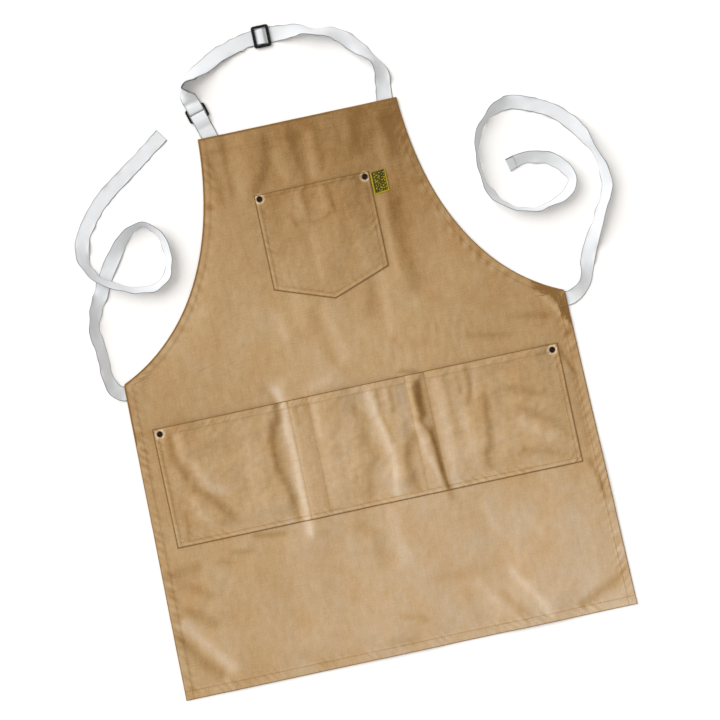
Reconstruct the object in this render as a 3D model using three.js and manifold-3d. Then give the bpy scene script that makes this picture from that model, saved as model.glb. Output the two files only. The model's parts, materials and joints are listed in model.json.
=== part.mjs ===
// Artist's smock apron, laid flat, face up: a hemmed canvas panel, a riveted chest pocket, a wide riveted
// waist pocket sewn into three large and two pencil compartments, a neck tape with a slider and a ring,
// two waist ties and a woven label.
// Millimetres. +X is the viewer's right, +Y runs from the skirt to the bib, +Z is up, towards the viewer.
// The origin is the middle of the cloth panel on the surface that the apron lies on.
import * as THREE from "three";
import { mergeVertices } from "three/addons/utils/BufferGeometryUtils.js";
import Module from "manifold-3d";

const wasm = await Module();
wasm.setup();

// Driving dimensions.
const GAP = 0.3; // clearance between pieces that touch
const PANEL_HALF_HEIGHT = 406;
const SKIRT_HALF_WIDTH = 343; // at the bottom hem
const WAIST_HALF_WIDTH = 335; // at the lower end of the armholes
const WAIST_Y = 73;
const BIB_HALF_WIDTH = 151;
const CLOTH = 1.6; // the panel's single-layer stand-in thickness
const HEM_THICK = 3; // folded hem
const SIDE_HEM = 14;
const BOTTOM_HEM = 15;
const TOP_HEM = 25;
const ARM_HEM = 12;

const POCKET_CLOTH = 1;
const POCKET_LIFT = 6; // how far a pocket's front stands off the panel
const CHEST = { half: 87.5, mouthY: 307, cornerY: 163, peakY: 132, flatSide: 14.5, ramp: 16 };
const WAIST = { half: 308, mouthY: -1, bottomY: -182, flatSide: 16, ramp: 16 };
const SEAM_FLAT = 6; // width of cloth held down along a divider seam
const DIVIDERS = [74, 103]; // distances of the divider seams from the middle
const BOTTOM_FLAT = 6;
const BOTTOM_RAMP = 18;

const TAPE = 0.8; // thickness of the cotton tape
const NECK_WIDTH = 24.6;
const TIE_WIDTH = 22;
const FLOOR_CLEAR = 0.1; // the tape's lower face over the surface
const TIE_ROOT_Y = 60;
const NECK_ROOT_X = 133.5;
const SEWN_END = { tie: 10, neck: 11, tab: 12 }; // length of a tape's sewn end under the hem
const END_ROOM = 2; // clear length beyond a sewn end

const SLIDER = { x: -26.5, y: 536, length: 26, width: 33, sideBar: 4.5, endBar: 3.5, centreBar: 4 };
const SLIDER_BASE = 2.3;
const SLIDER_THICK = 2.4;
const CENTRE_BAR_THICK = 1.6;

const RING = { x: -143.5, y: 444.5, heading: 106, length: 22, inside: 25.6, wire: 3, z: 2.9 };
const TAB_ROOT = 40; // from the ring's middle back to the bib's edge, along the tab

const LABEL = { x0: 88.8, x1: 112, y0: 271, y1: 304, thick: 0.8 };

const RIVET = { cap: 4.75, capHeight: 1.6, post: 1.6, back: 4, backThick: 0.6 };
const RIVET_PLACES = {
  chest_rivet_left: [-80, 300],
  chest_rivet_right: [80, 300],
  waist_rivet_left: [-298, -10],
  waist_rivet_right: [298, -10],
};
const RECESS_DEPTH = 1;

const COLOURS = {
  canvas: 0xb99669,
  tape: 0xdddddf,
  plastic: 0x141414,
  brass: 0x54412c,
  label: 0x8a7a20,
};

function material(name, roughness, metalness) {
  const side = THREE.DoubleSide;
  return new THREE.MeshStandardMaterial({ color: COLOURS[name], roughness, metalness, side });
}

const canvas = material("canvas", 0.9, 0);
const tapeCloth = material("tape", 0.85, 0);
const plastic = material("plastic", 0.4, 0);
const brass = material("brass", 0.4, 0.9);
const labelCloth = material("label", 0.8, 0);

const apron = new THREE.Group();

function place(name, geometry, finish) {
  const mesh = new THREE.Mesh(geometry, finish);
  mesh.name = name;
  apron.add(mesh);
  return mesh;
}

// Booleans.
function solidOf(geometry) {
  const bare = geometry.clone();
  bare.deleteAttribute("normal");
  bare.deleteAttribute("uv");
  const merged = mergeVertices(bare, 1e-4);
  const vertProperties = new Float32Array(merged.attributes.position.array);
  const triVerts = new Uint32Array(merged.index.array);
  return new wasm.Manifold(new wasm.Mesh({ numProp: 3, vertProperties, triVerts }));
}

function geometryOf(solid) {
  const mesh = solid.getMesh();
  const geometry = new THREE.BufferGeometry();
  geometry.setAttribute("position", new THREE.BufferAttribute(new Float32Array(mesh.vertProperties), 3));
  geometry.setIndex(new THREE.BufferAttribute(new Uint32Array(mesh.triVerts), 1));
  geometry.computeVertexNormals();
  return geometry;
}

function slab(shape, bottom, top, curveSegments = 12) {
  const depth = top - bottom;
  const geometry = new THREE.ExtrudeGeometry(shape, { depth, bevelEnabled: false, curveSegments });
  return geometry.translate(0, 0, bottom);
}

function block(x0, x1, y0, y1, z0, z1) {
  const geometry = new THREE.BoxGeometry(x1 - x0, y1 - y0, z1 - z0);
  return geometry.translate((x0 + x1) / 2, (y0 + y1) / 2, (z0 + z1) / 2);
}

function roundBar(x, y, radius, z0, z1) {
  const geometry = new THREE.CylinderGeometry(radius, radius, z1 - z0, 24);
  return geometry.rotateX(Math.PI / 2).translate(x, y, (z0 + z1) / 2);
}

// The panel: its outline, drawn from the bottom right corner anticlockwise.
function armholeCurve() {
  return [
    new THREE.Vector2(WAIST_HALF_WIDTH, WAIST_Y),
    new THREE.Vector2(205, 130),
    new THREE.Vector2(157, 270),
    new THREE.Vector2(BIB_HALF_WIDTH, PANEL_HALF_HEIGHT),
  ];
}

function panelShape(points, skirt, bottom) {
  const [waist, low, high, bib] = points;
  const shape = new THREE.Shape();
  shape.moveTo(-skirt, bottom);
  shape.lineTo(skirt, bottom);
  shape.lineTo(waist.x, waist.y);
  shape.bezierCurveTo(low.x, low.y, high.x, high.y, bib.x, bib.y);
  shape.lineTo(-bib.x, bib.y);
  shape.bezierCurveTo(-high.x, high.y, -low.x, low.y, -waist.x, waist.y);
  shape.closePath();
  return shape;
}

// The inner edge of the hems. The armhole's is the outer curve with its control points moved inwards.
function insideHems() {
  const [waist, low, high, bib] = armholeCurve();
  const endSlope = (low.y - waist.y) / (waist.x - low.x);
  const drop = ARM_HEM * Math.hypot(1, endSlope);
  const lowLeg = low.clone().sub(waist).normalize();
  const highLeg = high.clone().sub(low).normalize();
  const inward = lowLeg.add(highLeg).normalize();
  const inner = [
    new THREE.Vector2(waist.x - SIDE_HEM, waist.y + SIDE_HEM * endSlope - drop),
    new THREE.Vector2(low.x - inward.y * ARM_HEM, low.y + inward.x * ARM_HEM),
    new THREE.Vector2(high.x - ARM_HEM, high.y),
    new THREE.Vector2(bib.x - ARM_HEM, bib.y - TOP_HEM),
  ];
  return panelShape(inner, SKIRT_HALF_WIDTH - SIDE_HEM, BOTTOM_HEM - PANEL_HALF_HEIGHT);
}

// Room under a hem for the sewn end of a tape that runs along X.
function tapeRecess(sewnEnd, width, height) {
  const reach = sewnEnd + END_ROOM;
  return block(-reach, reach, -width / 2 - GAP, width / 2 + GAP, -1, height + GAP);
}

function makePanel() {
  const outline = panelShape(armholeCurve(), SKIRT_HALF_WIDTH, -PANEL_HALF_HEIGHT);
  const middle = slab(insideHems(), CLOTH, HEM_THICK + 1);
  const rim = solidOf(slab(outline, 0, HEM_THICK)).subtract(solidOf(middle));
  const oneTape = FLOOR_CLEAR + TAPE;
  const twoTapes = FLOOR_CLEAR + 2 * TAPE;
  const cuts = [
    tapeRecess(SEWN_END.tie, TIE_WIDTH, oneTape).translate(WAIST_HALF_WIDTH, TIE_ROOT_Y, 0),
    tapeRecess(SEWN_END.tie, TIE_WIDTH, oneTape).translate(-WAIST_HALF_WIDTH, TIE_ROOT_Y, 0),
    tapeRecess(SEWN_END.neck, NECK_WIDTH, oneTape)
      .rotateZ(Math.PI / 2)
      .translate(NECK_ROOT_X, PANEL_HALF_HEIGHT, 0),
    tapeRecess(SEWN_END.tab, NECK_WIDTH, twoTapes)
      .rotateZ(THREE.MathUtils.degToRad(RING.heading))
      .translate(...tabPoint(0)),
  ];
  for (const [x, y] of Object.values(RIVET_PLACES)) {
    cuts.push(roundBar(x, y, RIVET.post + GAP, -1, CLOTH + 1));
    cuts.push(roundBar(x, y, RIVET.back + GAP, -1, RECESS_DEPTH));
  }
  const panel = cuts.reduce((solid, cut) => solid.subtract(solidOf(cut)), rim);
  place("apron_panel", geometryOf(panel), canvas);
}

// A pocket's front: a sheet over a grid. rows holds a function of x for each line of the grid, and lift
// gives the height of its underside over the sewn edge.
function sheet(xs, rows, lift, base, thickness) {
  const nx = xs.length;
  const ny = rows.length;
  const positions = [];
  for (const top of [0, thickness]) {
    rows.forEach((row, j) => {
      xs.forEach((x) => positions.push(x, row(x), base + lift(x, j) + top));
    });
  }
  const index = [];
  const at = (i, j, layer) => layer * nx * ny + j * nx + i;
  const quad = (a, b, c, d) => index.push(a, b, c, a, c, d);
  for (let j = 0; j + 1 < ny; j += 1) {
    for (let i = 0; i + 1 < nx; i += 1) {
      quad(at(i, j, 1), at(i + 1, j, 1), at(i + 1, j + 1, 1), at(i, j + 1, 1));
      quad(at(i, j, 0), at(i, j + 1, 0), at(i + 1, j + 1, 0), at(i + 1, j, 0));
    }
  }
  for (let i = 0; i + 1 < nx; i += 1) {
    quad(at(i, 0, 0), at(i + 1, 0, 0), at(i + 1, 0, 1), at(i, 0, 1));
    quad(at(i + 1, ny - 1, 0), at(i, ny - 1, 0), at(i, ny - 1, 1), at(i + 1, ny - 1, 1));
  }
  for (let j = 0; j + 1 < ny; j += 1) {
    quad(at(0, j + 1, 0), at(0, j, 0), at(0, j, 1), at(0, j + 1, 1));
    quad(at(nx - 1, j, 0), at(nx - 1, j + 1, 0), at(nx - 1, j + 1, 1), at(nx - 1, j, 1));
  }
  const geometry = new THREE.BufferGeometry();
  geometry.setAttribute("position", new THREE.Float32BufferAttribute(positions, 3));
  geometry.setIndex(index);
  geometry.computeVertexNormals();
  return geometry;
}

// Straight lines between [distance, height] points, the same on both sides of the middle.
function profile(points, distance) {
  const next = points.findIndex(([at]) => at >= Math.abs(distance) - 1e-6);
  if (next <= 0) return points[0][1];
  const [a, za] = points[next - 1];
  const [b, zb] = points[next];
  return za + ((zb - za) * (Math.abs(distance) - a)) / (b - a);
}

function mirrored(points) {
  const right = points.map(([x]) => x);
  const left = right.filter((x) => x > 0).map((x) => -x);
  return [...left.reverse(), ...right];
}

function punch(geometry, prefix) {
  let solid = solidOf(geometry);
  for (const [name, [x, y]] of Object.entries(RIVET_PLACES)) {
    if (name.startsWith(prefix)) {
      solid = solid.subtract(solidOf(roundBar(x, y, RIVET.post + GAP, 0, HEM_THICK + 2)));
    }
  }
  return geometryOf(solid);
}

const pocketBase = CLOTH + GAP;
const rise = [0, 0, POCKET_LIFT, POCKET_LIFT]; // of the grid's rows, from the bottom edge to the mouth

function makeChestPocket() {
  const across = [
    [0, POCKET_LIFT],
    [CHEST.half - CHEST.flatSide - CHEST.ramp, POCKET_LIFT],
    [CHEST.half - CHEST.flatSide, 0],
    [CHEST.half, 0],
  ];
  const slope = (CHEST.cornerY - CHEST.peakY) / CHEST.half;
  const bottom = (x) => CHEST.peakY + slope * Math.abs(x);
  const rows = [
    bottom,
    (x) => bottom(x) + BOTTOM_FLAT,
    (x) => bottom(x) + BOTTOM_FLAT + BOTTOM_RAMP,
    () => CHEST.mouthY,
  ];
  const lift = (x, j) => Math.min(profile(across, x), rise[j]);
  const front = sheet(mirrored(across), rows, lift, pocketBase, POCKET_CLOTH);
  place("chest_pocket", punch(front, "chest"), canvas);
}

function makeWaistPocket() {
  const [inner, outer] = DIVIDERS;
  const half = SEAM_FLAT / 2;
  const steep = 6; // ramp inside a pencil compartment
  const easy = 13; // ramp beside it
  const across = [
    [0, POCKET_LIFT],
    [inner - half - easy, POCKET_LIFT],
    [inner - half, 0],
    [inner + half, 0],
    [inner + half + steep, POCKET_LIFT],
    [outer - half - steep, POCKET_LIFT],
    [outer - half, 0],
    [outer + half, 0],
    [outer + half + easy, POCKET_LIFT],
    [WAIST.half - WAIST.flatSide - WAIST.ramp, POCKET_LIFT],
    [WAIST.half - WAIST.flatSide, 0],
    [WAIST.half, 0],
  ];
  const heights = [
    WAIST.bottomY,
    WAIST.bottomY + BOTTOM_FLAT,
    WAIST.bottomY + BOTTOM_FLAT + BOTTOM_RAMP,
    WAIST.mouthY,
  ];
  const rows = heights.map((y) => () => y);
  const lift = (x, j) => Math.min(profile(across, x), rise[j]);
  const front = sheet(mirrored(across), rows, lift, pocketBase, POCKET_CLOTH);
  place("waist_pocket", punch(front, "waist"), canvas);
}

// Rivets: a domed cap with its post, and the back that the post is set in, in a recess under the panel.
function makeRivets() {
  const seat = pocketBase + POCKET_CLOTH + GAP;
  const foot = 0.2;
  const capProfile = [
    new THREE.Vector2(0, foot),
    new THREE.Vector2(RIVET.post, foot),
    new THREE.Vector2(RIVET.post, seat),
    new THREE.Vector2(RIVET.cap, seat),
    new THREE.Vector2(RIVET.cap, seat + 0.5 * RIVET.capHeight),
    new THREE.Vector2(0.8 * RIVET.cap, seat + RIVET.capHeight),
    new THREE.Vector2(0.45 * RIVET.cap, seat + 0.7 * RIVET.capHeight),
    new THREE.Vector2(0.25 * RIVET.cap, seat + RIVET.capHeight),
    new THREE.Vector2(0, seat + RIVET.capHeight),
  ];
  const bore = RIVET.post + GAP;
  const backProfile = [
    new THREE.Vector2(bore, foot),
    new THREE.Vector2(RIVET.back, foot),
    new THREE.Vector2(RIVET.back, foot + 0.5 * RIVET.backThick),
    new THREE.Vector2(0.85 * RIVET.back, foot + 0.85 * RIVET.backThick),
    new THREE.Vector2(bore, foot + 0.85 * RIVET.backThick),
    new THREE.Vector2(bore, foot),
  ];
  for (const [name, [x, y]] of Object.entries(RIVET_PLACES)) {
    const cap = new THREE.LatheGeometry(capProfile, 20).rotateX(Math.PI / 2);
    const back = new THREE.LatheGeometry(backProfile, 20).rotateX(Math.PI / 2);
    place(name + "_cap", cap, brass).position.set(x, y, 0);
    place(name + "_back", back, brass).position.set(x, y, 0);
  }
}

// The label: a folded strip of woven ribbon caught in the chest pocket's right seam, with a round folded end.
function makeLabel() {
  const side = new THREE.Shape();
  const radius = LABEL.thick / 2;
  side.moveTo(LABEL.x0, -radius);
  side.lineTo(LABEL.x1 - radius, -radius);
  side.absarc(LABEL.x1 - radius, 0, radius, -Math.PI / 2, Math.PI / 2, false);
  side.lineTo(LABEL.x0, radius);
  side.closePath();
  const height = LABEL.y1 - LABEL.y0;
  const strip = new THREE.ExtrudeGeometry(side, { depth: height, bevelEnabled: false, curveSegments: 4 });
  strip.rotateX(Math.PI / 2);
  place("woven_label", strip, labelCloth).position.set(0, LABEL.y1, pocketBase + radius);
}

// Tape: a flat section swept along stations, each a point and the direction across the tape. Each flat
// stretch of a face is a fan about its middle, so a face and the one behind it twist alike and stay apart.
function tapeCorners(curve, stations, width, t) {
  const last = stations.length - 1;
  const from = Math.min(Math.floor(t * last + 1e-4), last - 1);
  const along = curve.getTangent(t);
  const across = stations[from].across.clone().lerp(stations[from + 1].across, t * last - from);
  across.addScaledVector(along, -across.dot(along)).normalize();
  const up = along.clone().cross(across);
  const corners = [
    [0.5, 0.5],
    [-0.5, 0.5],
    [-0.5, -0.5],
    [0.5, -0.5],
  ];
  return corners.map(([u, v]) => {
    return curve.getPoint(t).addScaledVector(across, u * width).addScaledVector(up, v * TAPE);
  });
}

function sweepTape(stations, width, stepsEach) {
  const curve = new THREE.CatmullRomCurve3(stations.map((station) => station.point), false, "centripetal");
  const steps = (stations.length - 1) * stepsEach;
  const points = [];
  for (let i = 0; i <= steps; i += 1) points.push(...tapeCorners(curve, stations, width, i / steps));
  const index = [0, 2, 1, 0, 3, 2];
  for (let i = 0; i < steps; i += 1) {
    for (const k of [0, 1, 2, 3]) {
      const next = (k + 1) % 4;
      const rim = [4 * i + k, 4 * i + next, 4 * i + 4 + next, 4 * i + 4 + k];
      const middle = points.length;
      points.push(rim.reduce((sum, at) => sum.add(points[at]), new THREE.Vector3()).divideScalar(4));
      rim.forEach((at, side) => index.push(middle, at, rim[(side + 1) % 4]));
    }
  }
  const end = 4 * steps;
  index.push(end, end + 1, end + 2, end, end + 2, end + 3);
  const geometry = new THREE.BufferGeometry().setFromPoints(points);
  geometry.setIndex(index);
  geometry.computeVertexNormals();
  return geometry;
}

// A route over the surface: each point is x, y, the tape's roll in degrees (positive lifts the edge on the
// left of the way it runs) and how far it is raised. The tape's lower edge keeps to the surface.
function routeStations(route, width) {
  const plan = route.map(([x, y]) => new THREE.Vector2(x, y));
  return route.map(([x, y, roll, raised], i) => {
    const before = plan[Math.max(i - 1, 0)];
    const after = plan[Math.min(i + 1, plan.length - 1)];
    const heading = after.clone().sub(before).normalize();
    const turn = THREE.MathUtils.degToRad(roll);
    const across = new THREE.Vector3(-heading.y * Math.cos(turn), heading.x * Math.cos(turn), Math.sin(turn));
    const low = (width / 2) * Math.abs(Math.sin(turn)) + (TAPE / 2) * Math.abs(Math.cos(turn));
    return { point: new THREE.Vector3(x, y, FLOOR_CLEAR + low + raised), across };
  });
}

// Stations moved along the tape's own normal, for one of two layers that lie on each other.
function layerOf(stations, offset) {
  return stations.map(({ point, across }, i) => {
    const before = stations[Math.max(i - 1, 0)].point;
    const after = stations[Math.min(i + 1, stations.length - 1)].point;
    const up = after.clone().sub(before).cross(across).normalize();
    return { point: point.clone().addScaledVector(up, offset), across };
  });
}

// Points given as [distance along a heading, height] from a place, for the folds round the bars.
function foldStations(points, x, y, headingDegrees) {
  const heading = THREE.MathUtils.degToRad(headingDegrees);
  const across = new THREE.Vector3(-Math.sin(heading), Math.cos(heading), 0);
  return points.map(([along, z]) => ({
    point: new THREE.Vector3(x + along * Math.cos(heading), y + along * Math.sin(heading), z),
    across,
  }));
}

// The neck tape, from its seam under the right end of the bib, up through the slider, on to the ring, and
// doubled back under itself to the slider's centre bar, where it is sewn.
const NECK_RIGHT_ROUTE = [
  [NECK_ROOT_X, PANEL_HALF_HEIGHT - SEWN_END.neck, 0, 0],
  [NECK_ROOT_X, 402, 0, 0],
  [NECK_ROOT_X, 409, 0, 0],
  [135.5, 430, 12, 0],
  [136, 450, 35, 0],
  [131, 465, 55, 0],
  [120, 478, 40, 0],
  [103, 498, 15, 0],
  [82, 516, 30, 0],
  [51, 526, 60, 0],
  [22, 533.5, 25, 0],
];
const NECK_LEFT_ROUTE = [
  [-50, 534, 0, 0],
  [-70, 530, 4, 0],
  [-95, 522, 10, 0],
  [-118, 510, 18, 0],
  [-138, 500.5, 35, 0],
  [-153, 492, 62, 0],
  [-158.5, 482.5, 68, 0],
  [-155.2, 475, 46, 1],
  [-151, 467.8, 20, 1.6],
];
const OVER_CENTRE_BAR = [
  [-16, 0.6],
  [-8, 0.9],
  [-5.5, 2.2],
  [-4.2, 4.2],
  [-2.8, 5.5],
  [0, 5.75],
  [2.8, 5.5],
  [4.3, 4.2],
  [5.8, 2.6],
  [8.5, 1.9],
];
const ROUND_CENTRE_BAR = [
  [8, 0.5],
  [4, 0.7],
  [1.5, 1.3],
  [-1.5, 1.5],
  [-2.95, 2.2],
  [-3.1, 3.2],
  [-2.6, 4.2],
  [-1.4, 4.6],
  [1.5, 4.6],
];
const ROUND_RING_BAR = [
  [-12.5, 4.6],
  [-9.5, 5.1],
  [-6, 4.9],
  [-3, 4.2],
  [-1.6, 3.2],
  [-1.6, 2.2],
  [-3, 1],
  [-6, 0.5],
  [-12.5, 0.5],
];

function neckStations() {
  const layerUp = TAPE / 2 + GAP;
  const atSlider = (points) => foldStations(points, SLIDER.x, SLIDER.y, 180);
  const atRing = (points) => foldStations(points, RING.x, RING.y, RING.heading + 180);
  const leftRoute = NECK_LEFT_ROUTE.map(([x, y, roll, raised]) => [x, y, roll, raised + layerUp]);
  const leftStations = routeStations(leftRoute, NECK_WIDTH);
  const doubled = [...atSlider([[15, 1.2]]), ...leftStations, ...atRing([[-17, 1.8]])];
  return [
    ...routeStations(NECK_RIGHT_ROUTE, NECK_WIDTH),
    ...atSlider(OVER_CENTRE_BAR),
    ...layerOf(doubled, layerUp),
    ...atRing(ROUND_RING_BAR),
    ...layerOf(doubled, -layerUp).reverse(),
    ...atSlider(ROUND_CENTRE_BAR),
  ];
}

// The slider: a rounded frame with a lower bar across its middle.
function roundedRectangle(length, width, radius) {
  const x = length / 2;
  const y = width / 2;
  const shape = new THREE.Shape();
  shape.moveTo(-x + radius, -y);
  shape.lineTo(x - radius, -y);
  shape.absarc(x - radius, -y + radius, radius, -Math.PI / 2, 0, false);
  shape.absarc(x - radius, y - radius, radius, 0, Math.PI / 2, false);
  shape.absarc(-x + radius, y - radius, radius, Math.PI / 2, Math.PI, false);
  shape.absarc(-x + radius, -y + radius, radius, Math.PI, 1.5 * Math.PI, false);
  return shape;
}

function makeSlider() {
  const windowLength = SLIDER.length - 2 * SLIDER.sideBar;
  const windowWidth = SLIDER.width - 2 * SLIDER.endBar;
  const outer = roundedRectangle(SLIDER.length, SLIDER.width, 3.5);
  outer.holes.push(roundedRectangle(windowLength, windowWidth, 1));
  const frame = solidOf(slab(outer, 0, SLIDER_THICK, 5));
  const reach = windowWidth / 2 + 1;
  const half = SLIDER.centreBar / 2;
  const bar = solidOf(block(-half, half, -reach, reach, 0, CENTRE_BAR_THICK));
  place("neck_slider", geometryOf(frame.add(bar)), plastic).position.set(SLIDER.x, SLIDER.y, SLIDER_BASE);
}

// The ring: round rod bent into a rectangle, swept as a closed loop.
function ringCorners() {
  const x = (RING.length - RING.wire) / 2;
  const y = (RING.inside + RING.wire) / 2;
  const radius = 2.4;
  const centres = [
    [x - radius, y - radius, 0],
    [-x + radius, y - radius, 90],
    [-x + radius, -y + radius, 180],
    [x - radius, -y + radius, 270],
  ];
  const points = [];
  for (const [cx, cy, start] of centres) {
    for (const turn of [0, 30, 60, 90]) {
      const angle = THREE.MathUtils.degToRad(start + turn);
      points.push({ x: cx + radius * Math.cos(angle), y: cy + radius * Math.sin(angle), angle });
    }
  }
  return points;
}

function makeRing() {
  const sides = 12;
  const spine = ringCorners();
  const positions = [];
  const index = [];
  spine.forEach(({ x, y, angle }) => {
    for (let k = 0; k < sides; k += 1) {
      const around = (2 * Math.PI * k) / sides;
      const out = (RING.wire / 2) * Math.cos(around);
      const height = (RING.wire / 2) * Math.sin(around);
      positions.push(x + out * Math.cos(angle), y + out * Math.sin(angle), height);
    }
  });
  const at = (i, k) => (i % spine.length) * sides + (k % sides);
  spine.forEach((_, i) => {
    for (let k = 0; k < sides; k += 1) {
      index.push(at(i, k), at(i + 1, k), at(i + 1, k + 1));
      index.push(at(i, k), at(i + 1, k + 1), at(i, k + 1));
    }
  });
  const geometry = new THREE.BufferGeometry();
  geometry.setAttribute("position", new THREE.Float32BufferAttribute(positions, 3));
  geometry.setIndex(index);
  geometry.computeVertexNormals();
  const ring = place("neck_ring", geometry, plastic);
  ring.position.set(RING.x, RING.y, RING.z);
  ring.rotation.z = THREE.MathUtils.degToRad(RING.heading);
}

// The tab: two plies sewn flat at the bib, opening into a loop that holds the ring's lower bar.
function tabPoint(along) {
  const heading = THREE.MathUtils.degToRad(RING.heading);
  const back = along - TAB_ROOT;
  return [RING.x + back * Math.cos(heading), RING.y + back * Math.sin(heading), 0];
}

function makeTab() {
  const low = FLOOR_CLEAR;
  const ply = low + 2 * TAPE;
  const outside = [
    [-SEWN_END.tab, low],
    [34, low],
    [37.5, 0.8],
    [39.1, 2.2],
    [39.1, 3.5],
    [37.5, 4.9],
    [34, 5.5],
    [27, 5.5],
    [22, 4.1],
    [16, ply],
    [-SEWN_END.tab, ply],
  ];
  const inside = [
    [18, low + TAPE],
    [33.8, low + TAPE],
    [36.9, 1.5],
    [38.3, 2.6],
    [38.3, 3.2],
    [36.9, 4.2],
    [33.8, 4.7],
    [27.4, 4.7],
    [22.7, 3.4],
  ];
  const side = new THREE.Shape(outside.map(([s, z]) => new THREE.Vector2(s, z)));
  side.holes.push(new THREE.Path(inside.map(([s, z]) => new THREE.Vector2(s, z))));
  const loop = new THREE.ExtrudeGeometry(side, { depth: NECK_WIDTH, bevelEnabled: false });
  loop.rotateX(Math.PI / 2).translate(0, NECK_WIDTH / 2, 0);
  const tab = place("neck_tab", loop, tapeCloth);
  tab.position.set(...tabPoint(0));
  tab.rotation.z = THREE.MathUtils.degToRad(RING.heading);
}

// The waist ties, each from its seam under the side hem to its hemmed free end.
const LEFT_TIE_ROUTE = [
  [SEWN_END.tie - WAIST_HALF_WIDTH, TIE_ROOT_Y, 0, 0],
  [-332, TIE_ROOT_Y, 0, 0],
  [-339, TIE_ROOT_Y, 0, 0],
  [-348, 66, 25, 0],
  [-354, 80, 45, 0],
  [-355.5, 100, 50, 0],
  [-356, 127, 45, 0],
  [-359.5, 152, 48, 0],
  [-358, 172, 50, 0],
  [-349.5, 194, 30, 0],
  [-339, 213, 5, 0],
  [-331, 230, 0, 0],
  [-314.7, 254, 10, 0],
  [-296, 277, 35, 0],
  [-276, 294, 62, 0],
  [-256, 299, 72, 0],
  [-239, 286, 66, 0],
  [-230.5, 266, 60, 0],
  [-229.4, 245, 55, 0],
  [-233.5, 222, 58, 0],
  [-251.8, 206.5, 55, 0],
  [-271, 203.5, 58, 0],
  [-291, 207, 62, 0.5],
  [-311, 216, 62, 2.2],
  [-330, 227, 62, 2.6],
  [-344, 238, 62, 1.5],
  [-351.5, 254, 50, 0],
  [-354, 274, 25, 0],
  [-349.5, 296, 5, 0],
  [-338, 315, 0, 0],
  [-321, 336, 0, 0],
  [-301, 354.6, 0, 0],
  [-256.4, 385.7, 0, 0],
  [-224, 408.6, 0, 0],
  [-202, 424, 0, 0],
];
const RIGHT_TIE_ROUTE = [
  [WAIST_HALF_WIDTH - SEWN_END.tie, TIE_ROOT_Y, 0, 0],
  [332, TIE_ROOT_Y, 0, 0],
  [339, TIE_ROOT_Y, 0, 0],
  [352, 65, 15, 0],
  [364, 75, 30, 0],
  [371, 88, 25, 0],
  [379, 112, 0, 0],
  [393, 141, -25, 0],
  [409, 170, -50, 0],
  [423, 197, -50, 0],
  [430, 216, -45, 0],
  [427.5, 240, -62, 0],
  [420, 270, -75, 0],
  [409, 296, -35, 0],
  [391, 321, -5, 0],
  [368, 341, 0, 0],
  [340, 355, 0, 0],
  [314, 363, -12, 0],
  [292, 359, -45, 0],
  [272, 344, -65, 0],
  [256, 323, -62, 0],
  [249.5, 298, -75, 0],
  [250.5, 265, -72, 0],
  [259, 235, -55, 0],
  [277, 213, -70, 0],
  [304, 201, -70, 0],
  [333, 199, -68, 0],
  [357, 206, -55, 0],
  [374, 217, -50, 0],
  [381, 232, -60, 0],
  [374, 250, -42, 0],
  [357, 266, -35, 0],
  [333, 276, -38, 0],
  [309.5, 276, -40, 0],
  [291, 271.5, -32, 0],
];

function makeTapes() {
  place("neck_strap", sweepTape(neckStations(), NECK_WIDTH, 2), tapeCloth);
  place("tie_left", sweepTape(routeStations(LEFT_TIE_ROUTE, TIE_WIDTH), TIE_WIDTH, 2), tapeCloth);
  place("tie_right", sweepTape(routeStations(RIGHT_TIE_ROUTE, TIE_WIDTH), TIE_WIDTH, 2), tapeCloth);
}

makePanel();
makeChestPocket();
makeWaistPocket();
makeRivets();
makeLabel();
makeSlider();
makeRing();
makeTab();
makeTapes();

export default apron;
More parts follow.
